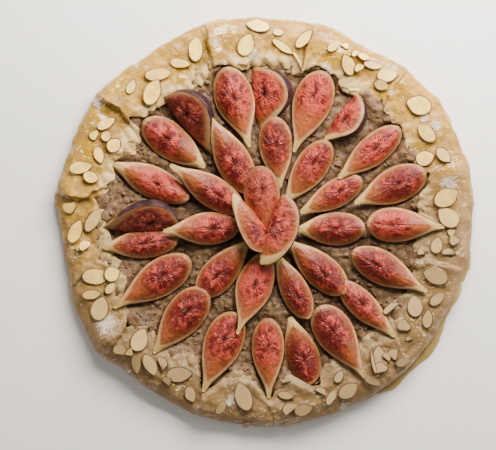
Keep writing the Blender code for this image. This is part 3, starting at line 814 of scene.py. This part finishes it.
def make_dough(sizes, colours):
    shift = plan_shift()
    made = copy_of_node("pastry", "pastry_dough")
    remesh(made, sizes.dough_detail, 3)
    mesh = made.data
    points = points_of(mesh)
    normals = normals_of(mesh)
    radius = plan_radius(points)
    off = off_figs(points, shift)
    seen = smooth_step(points[:, 2], 1.5, 5.0) * smooth_step(normals[:, 2], -0.6, 0.0)
    seen = seen * smooth_step(radius, 96.0, 104.0)
    rise, crease = fold_relief(points)
    rise = np.where(rise > 0, rise * smooth_step(off, -1.0, 5.0), rise)
    points[:, 2] += rise * seen * (1 - smooth_step(radius, 147.0, 153.0) * 0.8)
    lumps = rough_field(points, 19.0, 2) + rough_field(points, 7.5, 2, 1.0) * 0.55
    curd = 0.5 - cell_field(points * np.array((1, 1, 0.5)), 8.0, 6.0)
    curd = curd * (1 - smooth_step(radius, 120.0, 136.0))
    over = smooth_step(off, -1.0, 4.0)
    points += normals * ((lumps + curd * 1.3) * seen * over * sizes.dough_lumps / MM)[:, None]
    rim = smooth_step(points[:, 2], 7.0, 10.5) * (1 - smooth_step(radius, 118.0, 128.0))
    clear = smooth_step(off_figs(points, shift), 0.5, 5.0)
    tear = rough_field(points * np.array((1, 1, 0.3)), 6.5, 3, 2.0)
    tear = (tear * 1.5 - 0.80) * clear - (1 - clear) * 0.15
    outward = points[:, :2] / radius[:, None]
    points[:, :2] += outward * (tear * rim * sizes.lip_tear / MM)[:, None]
    flat = (points[:, 2] < 0.45) & (normals[:, 2] < -0.8)
    points[flat, 2] = 0.0
    points[:, 2] = np.maximum(points[:, 2], 0.0)
    base = (np.abs(points[:, 2] - BASE_TOP) < 0.5) & (normals[:, 2] > 0.8) & (radius < 125)
    points[base, 2] = BASE_TOP
    add_values(mesh, crease=crease)
    set_points(mesh, points)
    flatten_hidden(made, flat | base)
    points = points_of(mesh)
    radius = plan_radius(points)
    add_values(
        mesh,
        wash=spots(points - shift, WASHED) + smooth_step(radius, 130.0, 146.0) * 0.35,
        flank=smooth_step(radius, 136.0, 147.0),
        # painted shade, growing towards -Y, away from the window lamp
        dull=smooth_step(points[:, 0] * 0.25 - points[:, 1], -70.0, 70.0),
        hem=smooth_step(radius, 138.0, 148.0) * smooth_step(points[:, 2], 9.0, 3.0),
        raw=1 - smooth_step(radius, 114.0, 132.0),
        flour=spots(points - shift, FLOURED),
    )
    finish_piece(made, dough_finish(colours), "pastry", "pastry")


# ---------------------------------------------------------------- the filling


CRUMB_RISE = 1.2  # how much the filling stands higher between the figs
CRUMB_BANK = 3.2  # how much more it rises towards the dough's lip


def crumb_fields(points):
    """How near each point is to a gap between clods, and the small bumps on them."""
    flat = points * FLATTENED
    clods = cell_field(flat + rough_field(flat, 5.0, 1, 3.0)[:, None] * 2.0, 6.5)
    return clods, rough_field(flat, 2.8, 2, 1.0)


def make_filling(sizes, colours):
    made = copy_of_node("filling", "crumb_filling")
    remesh(made, sizes.crumb_detail)
    mesh = made.data
    points = points_of(mesh)
    normals = normals_of(mesh)
    radius = plan_radius(points)
    top = smooth_step(normals[:, 2], 0.3, 0.9) * (1 - smooth_step(radius, 122.0, 127.0))
    clods, small = crumb_fields(points)
    rise = rough_field(points * FLATTENED, 14.0, 2) * 0.6 + (0.40 - clods) * 0.7 + small * 0.4
    points[:, 2] += rise * top * sizes.crumb_depth / MM
    clear = smooth_step(off_figs(points, plan_shift()), -1.0, 3.0)
    points[:, 2] += (CRUMB_RISE + CRUMB_BANK * smooth_step(radius, 104.0, 118.0)) * top * clear
    set_points(mesh, points)
    flatten_hidden(made, normals[:, 2] < -0.9)
    points = points_of(mesh)
    clods, small = crumb_fields(points)
    hollow = np.clip(clods * 0.7 - small * 0.5 + 0.1, 0, 1)
    add_values(mesh, pale=smooth_step(plan_radius(points), 45.0, 115.0), hollow=hollow)
    finish_piece(made, crumb_finish(colours), "filling", "filling")


# ---------------------------------------------------------------- the figs

WEDGE_HALF_ANGLE = 54.0
SIDE_WEDGE_HALF_ANGLE = 46.0
RIDGE_BOW = 0.055  # of a wedge's length
FACE_BULGE = 0.06  # of its radius
RIDGE_ROUNDING = 1.5
STEM_NUB = 2.8  # radius of the blunt end that the stem left
FLESH_START = 0.13  # where the flesh begins and ends, along a wedge's length
FLESH_END = 0.955
GROOVE_UNDER_PITH = 0.25


def laid_wedges():
    """Each wedge with its node's name, in the order of the tables."""
    for layer, rows in WEDGES.items():
        for number, wedge in enumerate(rows, 1):
            yield f"{layer}_{number:02d}", wedge


def pear_share(t, neck, fullest):
    """Radius of a fig at t of its length from the stem, as a share of its largest radius."""
    t = np.clip(t, 0.0, 1.0)
    slender = ((1 - np.cos(np.pi * np.minimum(t, fullest) / fullest)) / 2) ** neck
    rounded = np.sqrt(np.maximum(0.0, 1 - ((t - fullest) / (1 - fullest)) ** 2))
    return np.where(t < fullest, slender, rounded)


def wedge_radius(wedge, t):
    """The pear's radius, with a blunt nub where the stem was."""
    pear = wedge.radius * pear_share(t, wedge.neck, wedge.fullest)
    nub = STEM_NUB * np.clip(1 - t / 0.15, 0.0, 1.0) ** 0.5 * np.clip(t / 0.02, 0.0, 1.0) ** 0.5
    return np.hypot(pear, nub)


def half_angle_of(wedge):
    return math.radians(SIDE_WEDGE_HALF_ANGLE if abs(wedge.roll) > 40 else WEDGE_HALF_ANGLE)


def plan_shift():
    """How far the CAD's origin lies from the middle of the plan in which the wedges were laid."""
    gaps = []
    for node, wedge in laid_wedges():
        points = cad_points(node)
        for end in (wedge.stem, wedge.blossom):
            step = points - np.array(end)
            gaps.append(step[np.argmin((step ** 2).sum(1))])
    return np.median(gaps, axis=0) * np.array((1, 1, 0))


def cut_wedge(name, wedge, length, detail):
    """A whole fig along +X, cut down its middle twice, which leaves the wedge round -Z."""
    made = add_primitive(name, bpy.ops.mesh.primitive_uv_sphere_add, segments=56, ring_count=44, radius=1.0)
    points = points_of(made.data) * MM
    t = np.clip((1 - points[:, 2]) / 2, 0.0, 1.0)
    turn = np.arctan2(points[:, 1], points[:, 0])
    radius = wedge_radius(wedge, t)
    set_points(made.data, np.column_stack((t * length, radius * np.sin(turn), -radius * np.cos(turn))))
    half = half_angle_of(wedge)
    with editing(made):
        for side in (1, -1):
            plane = {"plane_co": (0, 0, 0), "plane_no": (0, side * math.cos(half), math.sin(half))}
            bpy.ops.mesh.select_all(action="SELECT")
            bpy.ops.mesh.bisect(**plane, use_fill=True, clear_outer=True)
        bpy.ops.mesh.select_all(action="SELECT")
        bpy.ops.mesh.normals_make_consistent(inside=False)
    remesh(made, detail, 7)
    return made


def shape_flesh(made, wedge, length, seed, pith):
    """Bulges the cut faces, sinks the hollow in the middle, and stores what the flesh's colours need."""
    mesh = made.data
    rng = random.Random(seed)
    points = points_of(mesh)
    normals = normals_of(mesh)
    half = half_angle_of(wedge)
    along, across, up = points.T
    t = np.clip(along / length, 0.0, 1.0)
    radius = wedge_radius(wedge, t)
    off_ridge = np.abs(across) * math.sin(half) - up * math.cos(half)
    under_cut = -(np.abs(across) * math.cos(half) + up * math.sin(half))
    under_skin = radius - np.hypot(across, up)
    cut = smooth_step(under_skin - under_cut, 0.4, 1.6)
    span = (t - FLESH_START) / (FLESH_END - FLESH_START)
    island = (wedge.radius - pith) * pear_share(span, wedge.neck * 0.9, wedge.fullest)
    beyond = np.maximum(FLESH_START - t, t - FLESH_END) * length
    inside = island - off_ridge - 2.0 * np.maximum(beyond, 0.0)
    middle = length * (wedge.fullest + rng.uniform(-0.02, 0.06))
    side = np.where(across < 0, -1.0, 1.0)
    core_line = 0.36 * wedge.radius if abs(wedge.roll) > 60 else 0.0
    off_core = off_ridge - core_line
    at = np.column_stack((along - middle, off_core * side, np.full(len(t), seed * 3.7)))
    wide, narrow = rng.uniform(2.6, 4.6), rng.uniform(1.5, 2.4)
    ragged = rough_field(at, 2.2, 3, seed)
    core = np.exp(-(((along - middle) / wide) ** 2 + (off_core / narrow) ** 2)) * cut
    core = np.clip(core * (1 + 0.8 * ragged), 0.0, 1.0)
    soft = smooth_step(inside, 0.0, 2.0) * cut
    share = np.clip(off_ridge / np.maximum(radius, 1.0), 0.0, 1.0)
    relief = cut * FACE_BULGE * radius * np.sin(np.pi * share)
    relief += soft * (0.30 * rough_field(at, 2.4, 2, seed + 1) + 0.16 * rough_field(at, 1.2, 2, seed + 2))
    relief -= cut * GROOVE_UNDER_PITH * np.exp(-((inside / 0.8) ** 2))
    relief -= rng.uniform(1.3, 2.6) * core
    relief += 0.45 * rough_field(points, 22.0, 2, seed + 5)
    points = points + normals * relief[:, None]
    fall = np.abs(across) / math.tan(half)
    points[:, 2] -= cut * (np.sqrt(fall ** 2 + RIDGE_ROUNDING ** 2) - fall)
    points[:, 2] += 4 * RIDGE_BOW * length * t * (1 - t)
    set_points(mesh, points)
    add_values(
        mesh, cut=cut, tone=rng.uniform(-0.5, 0.5), dusk=wedge.dusk, flesh_in=inside, flesh_at=at, core=core,
        from_stem=t * length, to_blossom=(1 - t) * length,
    )


def lay_wedge(made, wedge, shift):
    """Turns a wedge from the +X axis to its place on the galette."""
    stem = Vector(wedge.stem)
    along = Vector(wedge.blossom) - stem
    forward = along.normalized()
    level_side = Vector((-along.y, along.x, 0)).normalized()
    upright = Matrix((forward, level_side, forward.cross(level_side))).transposed()
    turn = Matrix.Rotation(math.radians(-wedge.roll), 3, "X")
    made.matrix_world = Matrix.Translation((stem + Vector(shift)) * MM) @ (upright @ turn).to_4x4()
    bring_home(made)


def trim_below(made, height):
    """Cuts off what would be under a height, and closes the cut."""
    if points_of(made.data)[:, 2].min() > height:
        return
    with editing(made):
        bpy.ops.mesh.bisect(plane_co=(0, 0, height * MM), plane_no=(0, 0, 1), clear_inner=True, use_fill=True)


def make_wedges(sizes, colours):
    material = fig_finish(colours)
    shift = plan_shift()
    for seed, (node, wedge) in enumerate(laid_wedges(), 1):
        length = (Vector(wedge.blossom) - Vector(wedge.stem)).length
        made = cut_wedge(node + "_wedge", wedge, length, sizes.wedge_detail)
        shape_flesh(made, wedge, length, seed, sizes.pith / MM)
        lay_wedge(made, wedge, shift)
        trim_below(made, cad_points(node)[:, 2].min())
        finish_piece(made, material, "fig", node)


# ---------------------------------------------------------------- the almonds

# Where a broken slice is cut, as a point of the line and the direction that is lost, in parts of its sizes.
BREAKS = {
    "whole": (),
    "sliver": (((0, -0.05), (0.1, -1)),),
    "broken": (((0.24, 0), (0.93, 0.36)), ((-0.10, -0.34), (-0.25, -0.95))),
    "chip": (((0.16, 0), (0.96, -0.25)), ((-0.30, 0), (-0.90, -0.42))),
    "split": (((0, -0.20), (0.12, -0.99)), ((0.34, 0), (0.85, 0.5))),
}
FLAKE_BEVEL = 0.28
FLAKE_LIFT = 0.25  # how far a slice's underside stays off what it lies on
STEEPEST = 0.75  # slope of a resting slice


def flake_taper(turn):
    """How much narrower than an ellipse a slice is, seen from its middle in this direction."""
    return 1.0 - 0.06 * np.cos(turn) - 0.40 * np.maximum(0.0, np.cos(turn)) ** 2.2


def model_flake(kind, thickness):
    """One slice of unit length and width, its middle at the origin, lying on z = 0."""
    circle = {"vertices": 26, "radius": 0.5 * MM, "fill_type": "NGON"}
    made = add_primitive("flake_" + kind, bpy.ops.mesh.primitive_circle_add, **circle)
    for vertex in made.data.vertices:
        vertex.co.y *= flake_taper(math.atan2(vertex.co.y, vertex.co.x))
    with editing(made):
        for (x, y), lost in BREAKS[kind]:
            bpy.ops.mesh.select_all(action="SELECT")
            bpy.ops.mesh.bisect(plane_co=(x * MM, y * MM, 0), plane_no=(*lost, 0), clear_outer=True)
        bpy.ops.mesh.select_all(action="SELECT")
        bpy.ops.mesh.extrude_region_move(TRANSFORM_OT_translate={"value": (0, 0, thickness)})
        bpy.ops.mesh.select_all(action="SELECT")
        bpy.ops.mesh.normals_make_consistent(inside=False)
    return made


def from_outline(made):
    """How far each point of a slice is from its outline, in millimetres."""
    mesh = made.data
    points = points_of(mesh)[:, :2]
    walls = [f for f in mesh.polygons if abs(f.normal.z) < 0.3]
    ends = {tuple(sorted(key)) for face in walls for key in face.edge_keys}
    gap = np.full(len(points), 9.0)
    for first, second in ends:
        start, run = points[first], points[second] - points[first]
        size = run @ run
        if size < 1e-6:
            continue
        share = np.clip((points - start) @ run / size, 0.0, 1.0)
        gap = np.minimum(gap, np.linalg.norm(points - start - share[:, None] * run, axis=1))
    return gap


def frame_faces(made, width):
    """Insets the two wide faces, so that a border runs round each."""
    mesh = made.data
    for item in (*mesh.vertices, *mesh.edges):
        item.select = False
    for face in mesh.polygons:
        face.select = abs(face.normal.z) > 0.7
    with editing(made, keep=True):
        bpy.ops.mesh.select_mode(type="FACE")
        bpy.ops.mesh.inset(thickness=width, use_individual=True)


def flakes_from_frame():
    """The slices that are CAD solids, read back from where they lie."""
    rows = []
    names = sorted(n for n in frame["nodes"] if n.startswith("almond_"))
    for name in names:
        points = cad_points(name)
        middle = (points.max(0) + points.min(0)) / 2
        turns = []
        for heading in range(0, 180, 3):
            length, width = (np.ptp(points[:, :2] @ polar_point(heading + turn, 1.0)) for turn in (0, 90))
            turns.append((width, length, heading))
        width, length, heading = min(turns)
        rows.append(Flake(middle[0], middle[1], length, width, heading))
    return rows, names


def rest_flake(flake, trees):
    """The slope and height of a stiff slice lying on what is under it, as (x slope, y slope, height)."""
    turn = Matrix.Rotation(math.radians(flake.heading), 2)
    samples = []
    for step in range(24):
        angle = math.tau * step / 24
        for share in (0.0, 0.4, 0.75, 1.0):
            local = Vector((0.5 * flake.length * math.cos(angle), 0.5 * flake.width * math.sin(angle)))
            spot = turn @ (local * share) + Vector((flake.x, flake.y))
            heights = [hit.z for hit in (drop(tree, spot.x, spot.y)[0] for tree in trees) if hit]
            if heights:
                samples.append((spot.x, spot.y, max(heights)))
    samples = np.array(samples)
    flat = np.column_stack((samples[:, :2], np.ones(len(samples))))
    slope_x, slope_y, _ = np.linalg.lstsq(flat, samples[:, 2], rcond=None)[0]
    steep = math.hypot(slope_x, slope_y)
    ease = min(1.0, STEEPEST / steep) if steep else 1.0
    slope_x, slope_y = slope_x * ease, slope_y * ease
    gaps = samples[:, 2] - flat[:, 0] * slope_x - flat[:, 1] * slope_y
    return slope_x, slope_y, np.percentile(gaps, 97) + FLAKE_LIFT


def shape_flake(model, flake, rng):
    """A copy of a unit slice at its real size, cupped, with a border and rounded edges."""
    made = link_object("flake", model.data.copy())
    points = points_of(made.data)
    points[:, :2] *= np.array((flake.length, flake.width))
    cup = rng.uniform(-0.004, 0.010)
    points[:, 2] += cup * (points[:, 0] ** 2 + points[:, 1] ** 2) * rng.uniform(0.5, 1.2)
    set_points(made.data, points)
    border = min(1.3, 0.15 * flake.width)
    frame_faces(made, border * MM)
    x, y, _ = points_of(made.data).T
    # the border of brown skin is widened on one side, where it is partly painted shadow
    one_side = smooth_step(np.sin(np.arctan2(y, x) + rng.uniform(0, math.tau)), -1.0, 0.4)
    near_edge = 1 - smooth_step(from_outline(made), 0.1, border)
    add_values(made.data, edge=near_edge * (0.40 + 0.60 * one_side))
    limit = {"limit_method": "ANGLE", "angle_limit": math.radians(50)}
    apply_modifier(made, "BEVEL", width=FLAKE_BEVEL * MM, segments=1, **limit)
    # dull: painted shade towards the lower right, where less light falls
    add_values(made.data, tint=rng.random(), dull=smooth_step(flake.x * 0.30 - flake.y, -80.0, 110.0))
    return made


def lay_flake(model, flake, trees, rng):
    slope_x, slope_y, height = rest_flake(flake, trees)
    made = shape_flake(model, flake, rng)
    normal = Vector((-slope_x, -slope_y, 1)).normalized()
    run = Vector(polar_point(flake.heading, 1.0))
    forward = Vector((run.x, run.y, run.x * slope_x + run.y * slope_y)).normalized()
    turn = Matrix((forward, normal.cross(forward), normal)).transposed()
    place = Vector((flake.x, flake.y, height + slope_x * flake.x + slope_y * flake.y))
    made.matrix_world = Matrix.Translation(place * MM) @ turn.to_4x4()
    bring_home(made)
    return made


def make_flakes(sizes, colours, under):
    rng = random.Random(11)
    models = {kind: model_flake(kind, sizes.flake) for kind in BREAKS}
    big, names = flakes_from_frame()
    shift = plan_shift()
    small = [row._replace(x=row.x + shift[0], y=row.y + shift[1]) for row in SMALL_FLAKES]
    made = []
    ground = tree_of(under)[0]
    for row in big + small:
        trees = [ground, tree_of(made)[0]] if made else [ground]
        kind = rng.choice(("broken", "chip", "split")) if row.kind == "broken" else row.kind
        made.append(lay_flake(models[kind], row, trees, rng))
    for model in models.values():
        bpy.data.objects.remove(model)
    select_only(made[0])
    for flake in made:
        flake.select_set(True)
    bpy.ops.object.join()
    flakes = bpy.context.object
    flakes.name = "almond_flakes"
    select_only(flakes)
    bpy.ops.object.shade_smooth_by_angle(angle=math.radians(40))
    finish_piece(flakes, almond_finish(colours), "almond", *names, smooth=False)


# ---------------------------------------------------------------- what is scattered

CRUMB_REACH = 118.0  # radius of the filling that loose crumbs fall on
GRAIN_FLOOR = 6.0  # sugar lies no lower than this


def scatter(model, places, name):
    """Copies of a small model, each with its own size and turn, joined into one mesh."""
    base = points_of(model.data)
    faces = np.array([list(face.vertices) for face in model.data.polygons])
    points = []
    corners = []
    for place, size, turn in places:
        spun = base @ np.array(turn.to_matrix()).T
        corners.append(faces + len(base) * len(points))
        points.append(spun * np.array(size) + np.array(place))
    mesh = bpy.data.meshes.new(name)
    mesh.from_pydata(np.concatenate(points) * MM, [], np.concatenate(corners).tolist())
    bpy.data.objects.remove(model)
    return link_object(name, mesh)


def crumb_model(subdivisions, seed):
    """A knobbly crumb of unit size."""
    ball = {"subdivisions": subdivisions, "radius": 0.5 * MM}
    made = add_primitive("crumb", bpy.ops.mesh.primitive_ico_sphere_add, **ball)
    points = points_of(made.data)
    points *= (1 + 0.55 * rough_field(points, 0.45, 2, seed))[:, None]
    set_points(made.data, points)
    return made


def random_turn(rng):
    return Vector([rng.gauss(0, 1) for _ in range(3)]).normalized().rotation_difference(Vector((0, 0, 1)))


def make_crumbs(sizes, filling, over):
    """Loose clods of crumb on the filling where it shows."""
    rng = random.Random(5)
    tree, owners = tree_of([filling, *over])
    places = []
    while len(places) < sizes.loose_crumbs:
        reach, turn = CRUMB_REACH * math.sqrt(rng.random()), math.tau * rng.random()
        x, y = reach * math.cos(turn), reach * math.sin(turn)
        point, _, face = drop(tree, x, y)
        if face is None or owners[face]:
            continue
        size = 1.1 + 2.6 * rng.random() ** 3
        shape = (size * rng.uniform(0.8, 1.4), size, size * rng.uniform(0.5, 0.8))
        places.append(((x, y, point.z + 0.12 * size), shape, random_turn(rng)))
    made = scatter(crumb_model(2, 3.0), places, "loose_crumbs")
    add_values(made.data, hollow=0.15, pale=0.5)
    finish_piece(made, bpy.data.materials["crumb"], "filling")


def make_grains(sizes, colours, dough):
    """Sugar that caught in the flour, and white specks over the rim that are painted glints of egg wash."""
    rng = random.Random(9)
    tree, _ = tree_of([dough])
    shift = plan_shift()
    places = []
    while len(places) < sizes.grains:
        x, y, radius = FLOURED[rng.randrange(len(FLOURED))]
        x, y = x + shift[0] + rng.gauss(0, radius * 0.55), y + shift[1] + rng.gauss(0, radius * 0.55)
        # painted highlights: white specks anywhere on the rim, standing for glints of egg wash
        if rng.random() < 0.45:
            x, y = polar_point(rng.uniform(0, 360), rng.uniform(108, 150))
        point = drop(tree, x, y)[0]
        if point is None or point.z < GRAIN_FLOOR:
            continue
        size = rng.uniform(0.35, 0.8)
        places.append(((x, y, point.z + 0.2 * size), (size, size, size), random_turn(rng)))
    made = scatter(crumb_model(1, 8.0), places, "sugar_grains")
    finish_piece(made, grain_finish(colours), "pastry", smooth=False)


POOL = (-63.0, -7.0)  # bearings between which egg wash has run off onto the floor
POOL_WIDTH = 9.5
POOL_STEPS = 80


def make_pool(colours):
    """Egg wash that ran off the dough and stands in a thin film along its foot."""
    points = cad_points("pastry")
    bearings = np.degrees(np.arctan2(points[:, 1], points[:, 0]))
    radius = plan_radius(points)
    made = add_primitive("egg_wash_pool", bpy.ops.curve.primitive_bezier_curve_add)
    curve = made.data
    curve.splines.clear()
    spline = curve.splines.new("POLY")
    spline.points.add(POOL_STEPS)
    for step in range(POOL_STEPS + 1):
        share = step / POOL_STEPS
        bearing = POOL[0] + (POOL[1] - POOL[0]) * share
        edge = radius[np.abs(bearings - bearing) < 3.0].max()
        wave = noise.noise(Vector((bearing * 0.16, 0.3, 0.0)))
        width = POOL_WIDTH * (0.85 + 0.6 * wave) * math.sin(math.pi * share) ** 0.4
        spline.points[step].co = (*polar_point(bearing, edge - 2.4 + 0.30 * width) * MM, 0, 1)
        spline.points[step].radius = max(width, 0.3) / 2
    curve.bevel_depth = MM
    curve.bevel_resolution = 3
    curve.use_fill_caps = True
    select_only(made)
    bpy.ops.object.convert(target="MESH")
    points = points_of(made.data)
    points[:, 2] = np.where(points[:, 2] < 0, 0.02, 0.05 + points[:, 2] * 0.30)
    set_points(made.data, points)
    finish_piece(made, wash_finish(colours), "pastry")


# ---------------------------------------------------------------- the stage

VIEW_WIDTH = 360.6  # what the camera takes in, at the height of the figs
VIEW_HEIGHT = 14.0
VIEW_CENTRE = (-11.7, -2.1)
CAMERA_HEIGHT = 1900.0
SENSOR = 36.0
CARD_COLOUR = (1.0, 0.98, 0.96)

# Each lamp's name, place and size in metres, power in watts, and colour.
LAMPS = (
    ("window", (0.17, 0.47, 0.38), (0.60, 0.34), 20.0, (1.0, 0.975, 0.94)),
    ("left_card", (-1.9, 0.2, 0.9), (1.4, 0.9), 11.0, CARD_COLOUR),
    ("right_card", (1.9, 0.2, 0.9), (1.4, 0.9), 13.0, CARD_COLOUR),
    ("near_card", (0.0, -1.9, 0.9), (1.6, 0.9), 5.0, CARD_COLOUR),
)


def add_camera():
    data = bpy.data.cameras.new("camera")
    data.sensor_width = SENSOR
    data.lens = SENSOR * (CAMERA_HEIGHT - VIEW_HEIGHT) / VIEW_WIDTH
    data.clip_end = 20.0
    camera = link_object("camera", data)
    camera.location = Vector((*VIEW_CENTRE, CAMERA_HEIGHT)) * MM
    bpy.context.scene.camera = camera


def add_lamp(name, place, size, power, colour):
    data = bpy.data.lights.new(name, "AREA")
    data.shape = "RECTANGLE"
    data.size, data.size_y = size
    data.energy = power
    data.color = colour
    lamp = link_object(name, data)
    lamp.location = place
    lamp.rotation_euler = (Vector() - Vector(place)).to_track_quat("-Z", "Y").to_euler()


def add_stage(colours):
    world = bpy.data.worlds.new("studio")
    bpy.context.scene.world = world
    world.use_nodes = True
    sky = world.node_tree.nodes["Background"]
    sky.inputs["Color"].default_value = (0.93, 0.96, 1.0, 1.0)
    sky.inputs["Strength"].default_value = 0.18
    for lamp in LAMPS:
        add_lamp(*lamp)
    floor = add_primitive("floor", bpy.ops.mesh.primitive_plane_add, size=6.0)
    floor.data.materials.append(floor_finish(colours))
    add_camera()


# ---------------------------------------------------------------- operators and panel


def settings():
    return bpy.context.scene.galette_sizes, bpy.context.scene.galette_colours


def piece_named(name):
    return bpy.data.objects[name]


def all_wedges():
    return [o for o in bpy.data.objects if o.name.endswith("_wedge")]


class GaletteOperator:
    """What the operators share."""

    bl_options = {"REGISTER", "UNDO"}

    def execute(self, context):
        self.make(*settings())
        return {"FINISHED"}


class GALETTE_OT_stage(GaletteOperator, bpy.types.Operator):
    """Add the floor, the light and the camera"""

    bl_idname = "galette.stage"
    bl_label = "Stage"

    def make(self, sizes, colours):
        add_stage(colours)


class GALETTE_OT_dough(GaletteOperator, bpy.types.Operator):
    """Model the folded dough"""

    bl_idname = "galette.dough"
    bl_label = "Dough"

    def make(self, sizes, colours):
        make_dough(sizes, colours)


class GALETTE_OT_filling(GaletteOperator, bpy.types.Operator):
    """Model the crumb filling"""

    bl_idname = "galette.filling"
    bl_label = "Crumb filling"

    def make(self, sizes, colours):
        make_filling(sizes, colours)


class GALETTE_OT_figs(GaletteOperator, bpy.types.Operator):
    """Cut and lay the fig wedges"""

    bl_idname = "galette.figs"
    bl_label = "Fig wedges"

    def make(self, sizes, colours):
        make_wedges(sizes, colours)


class GALETTE_OT_almonds(GaletteOperator, bpy.types.Operator):
    """Lay the sliced almonds on the dough"""

    bl_idname = "galette.almonds"
    bl_label = "Sliced almonds"

    def make(self, sizes, colours):
        under = [piece_named("pastry_dough"), piece_named("crumb_filling"), *all_wedges()]
        make_flakes(sizes, colours, under)


class GALETTE_OT_crumbs(GaletteOperator, bpy.types.Operator):
    """Scatter loose crumbs and sugar"""

    bl_idname = "galette.crumbs"
    bl_label = "Crumbs and sugar"

    def make(self, sizes, colours):
        make_crumbs(sizes, piece_named("crumb_filling"), [piece_named("pastry_dough"), *all_wedges()])
        make_grains(sizes, colours, piece_named("pastry_dough"))


class GALETTE_OT_wash(GaletteOperator, bpy.types.Operator):
    """Run egg wash along the foot of the dough"""

    bl_idname = "galette.wash"
    bl_label = "Egg wash"

    def make(self, sizes, colours):
        make_pool(colours)


OPERATORS = (
    GALETTE_OT_stage, GALETTE_OT_dough, GALETTE_OT_filling, GALETTE_OT_figs, GALETTE_OT_almonds,
    GALETTE_OT_crumbs, GALETTE_OT_wash,
)


class GALETTE_PT_panel(bpy.types.Panel):
    """Lists the galette's pieces, sizes and colours"""

    bl_label = "Fig galette"
    bl_idname = "GALETTE_PT_panel"
    bl_space_type = "VIEW_3D"
    bl_region_type = "UI"
    bl_category = "Galette"

    def draw(self, context):
        for group in settings():
            box = self.layout.box()
            for name in group.bl_rna.properties.keys():
                if name not in ("rna_type", "name"):
                    box.prop(group, name)
        for operator in OPERATORS:
            self.layout.operator(operator.bl_idname)


CLASSES = (GaletteSizes, GaletteColours, *OPERATORS, GALETTE_PT_panel)


def register():
    for cls in CLASSES:
        bpy.utils.register_class(cls)
    bpy.types.Scene.galette_sizes = bpy.props.PointerProperty(type=GaletteSizes)
    bpy.types.Scene.galette_colours = bpy.props.PointerProperty(type=GaletteColours)


def unregister():
    del bpy.types.Scene.galette_colours
    del bpy.types.Scene.galette_sizes
    for cls in reversed(CLASSES):
        bpy.utils.unregister_class(cls)


def main():
    register()
    for operator in OPERATORS:
        group, name = operator.bl_idname.split(".")
        getattr(getattr(bpy.ops, group), name)()


if __name__ == "__main__":
    main()
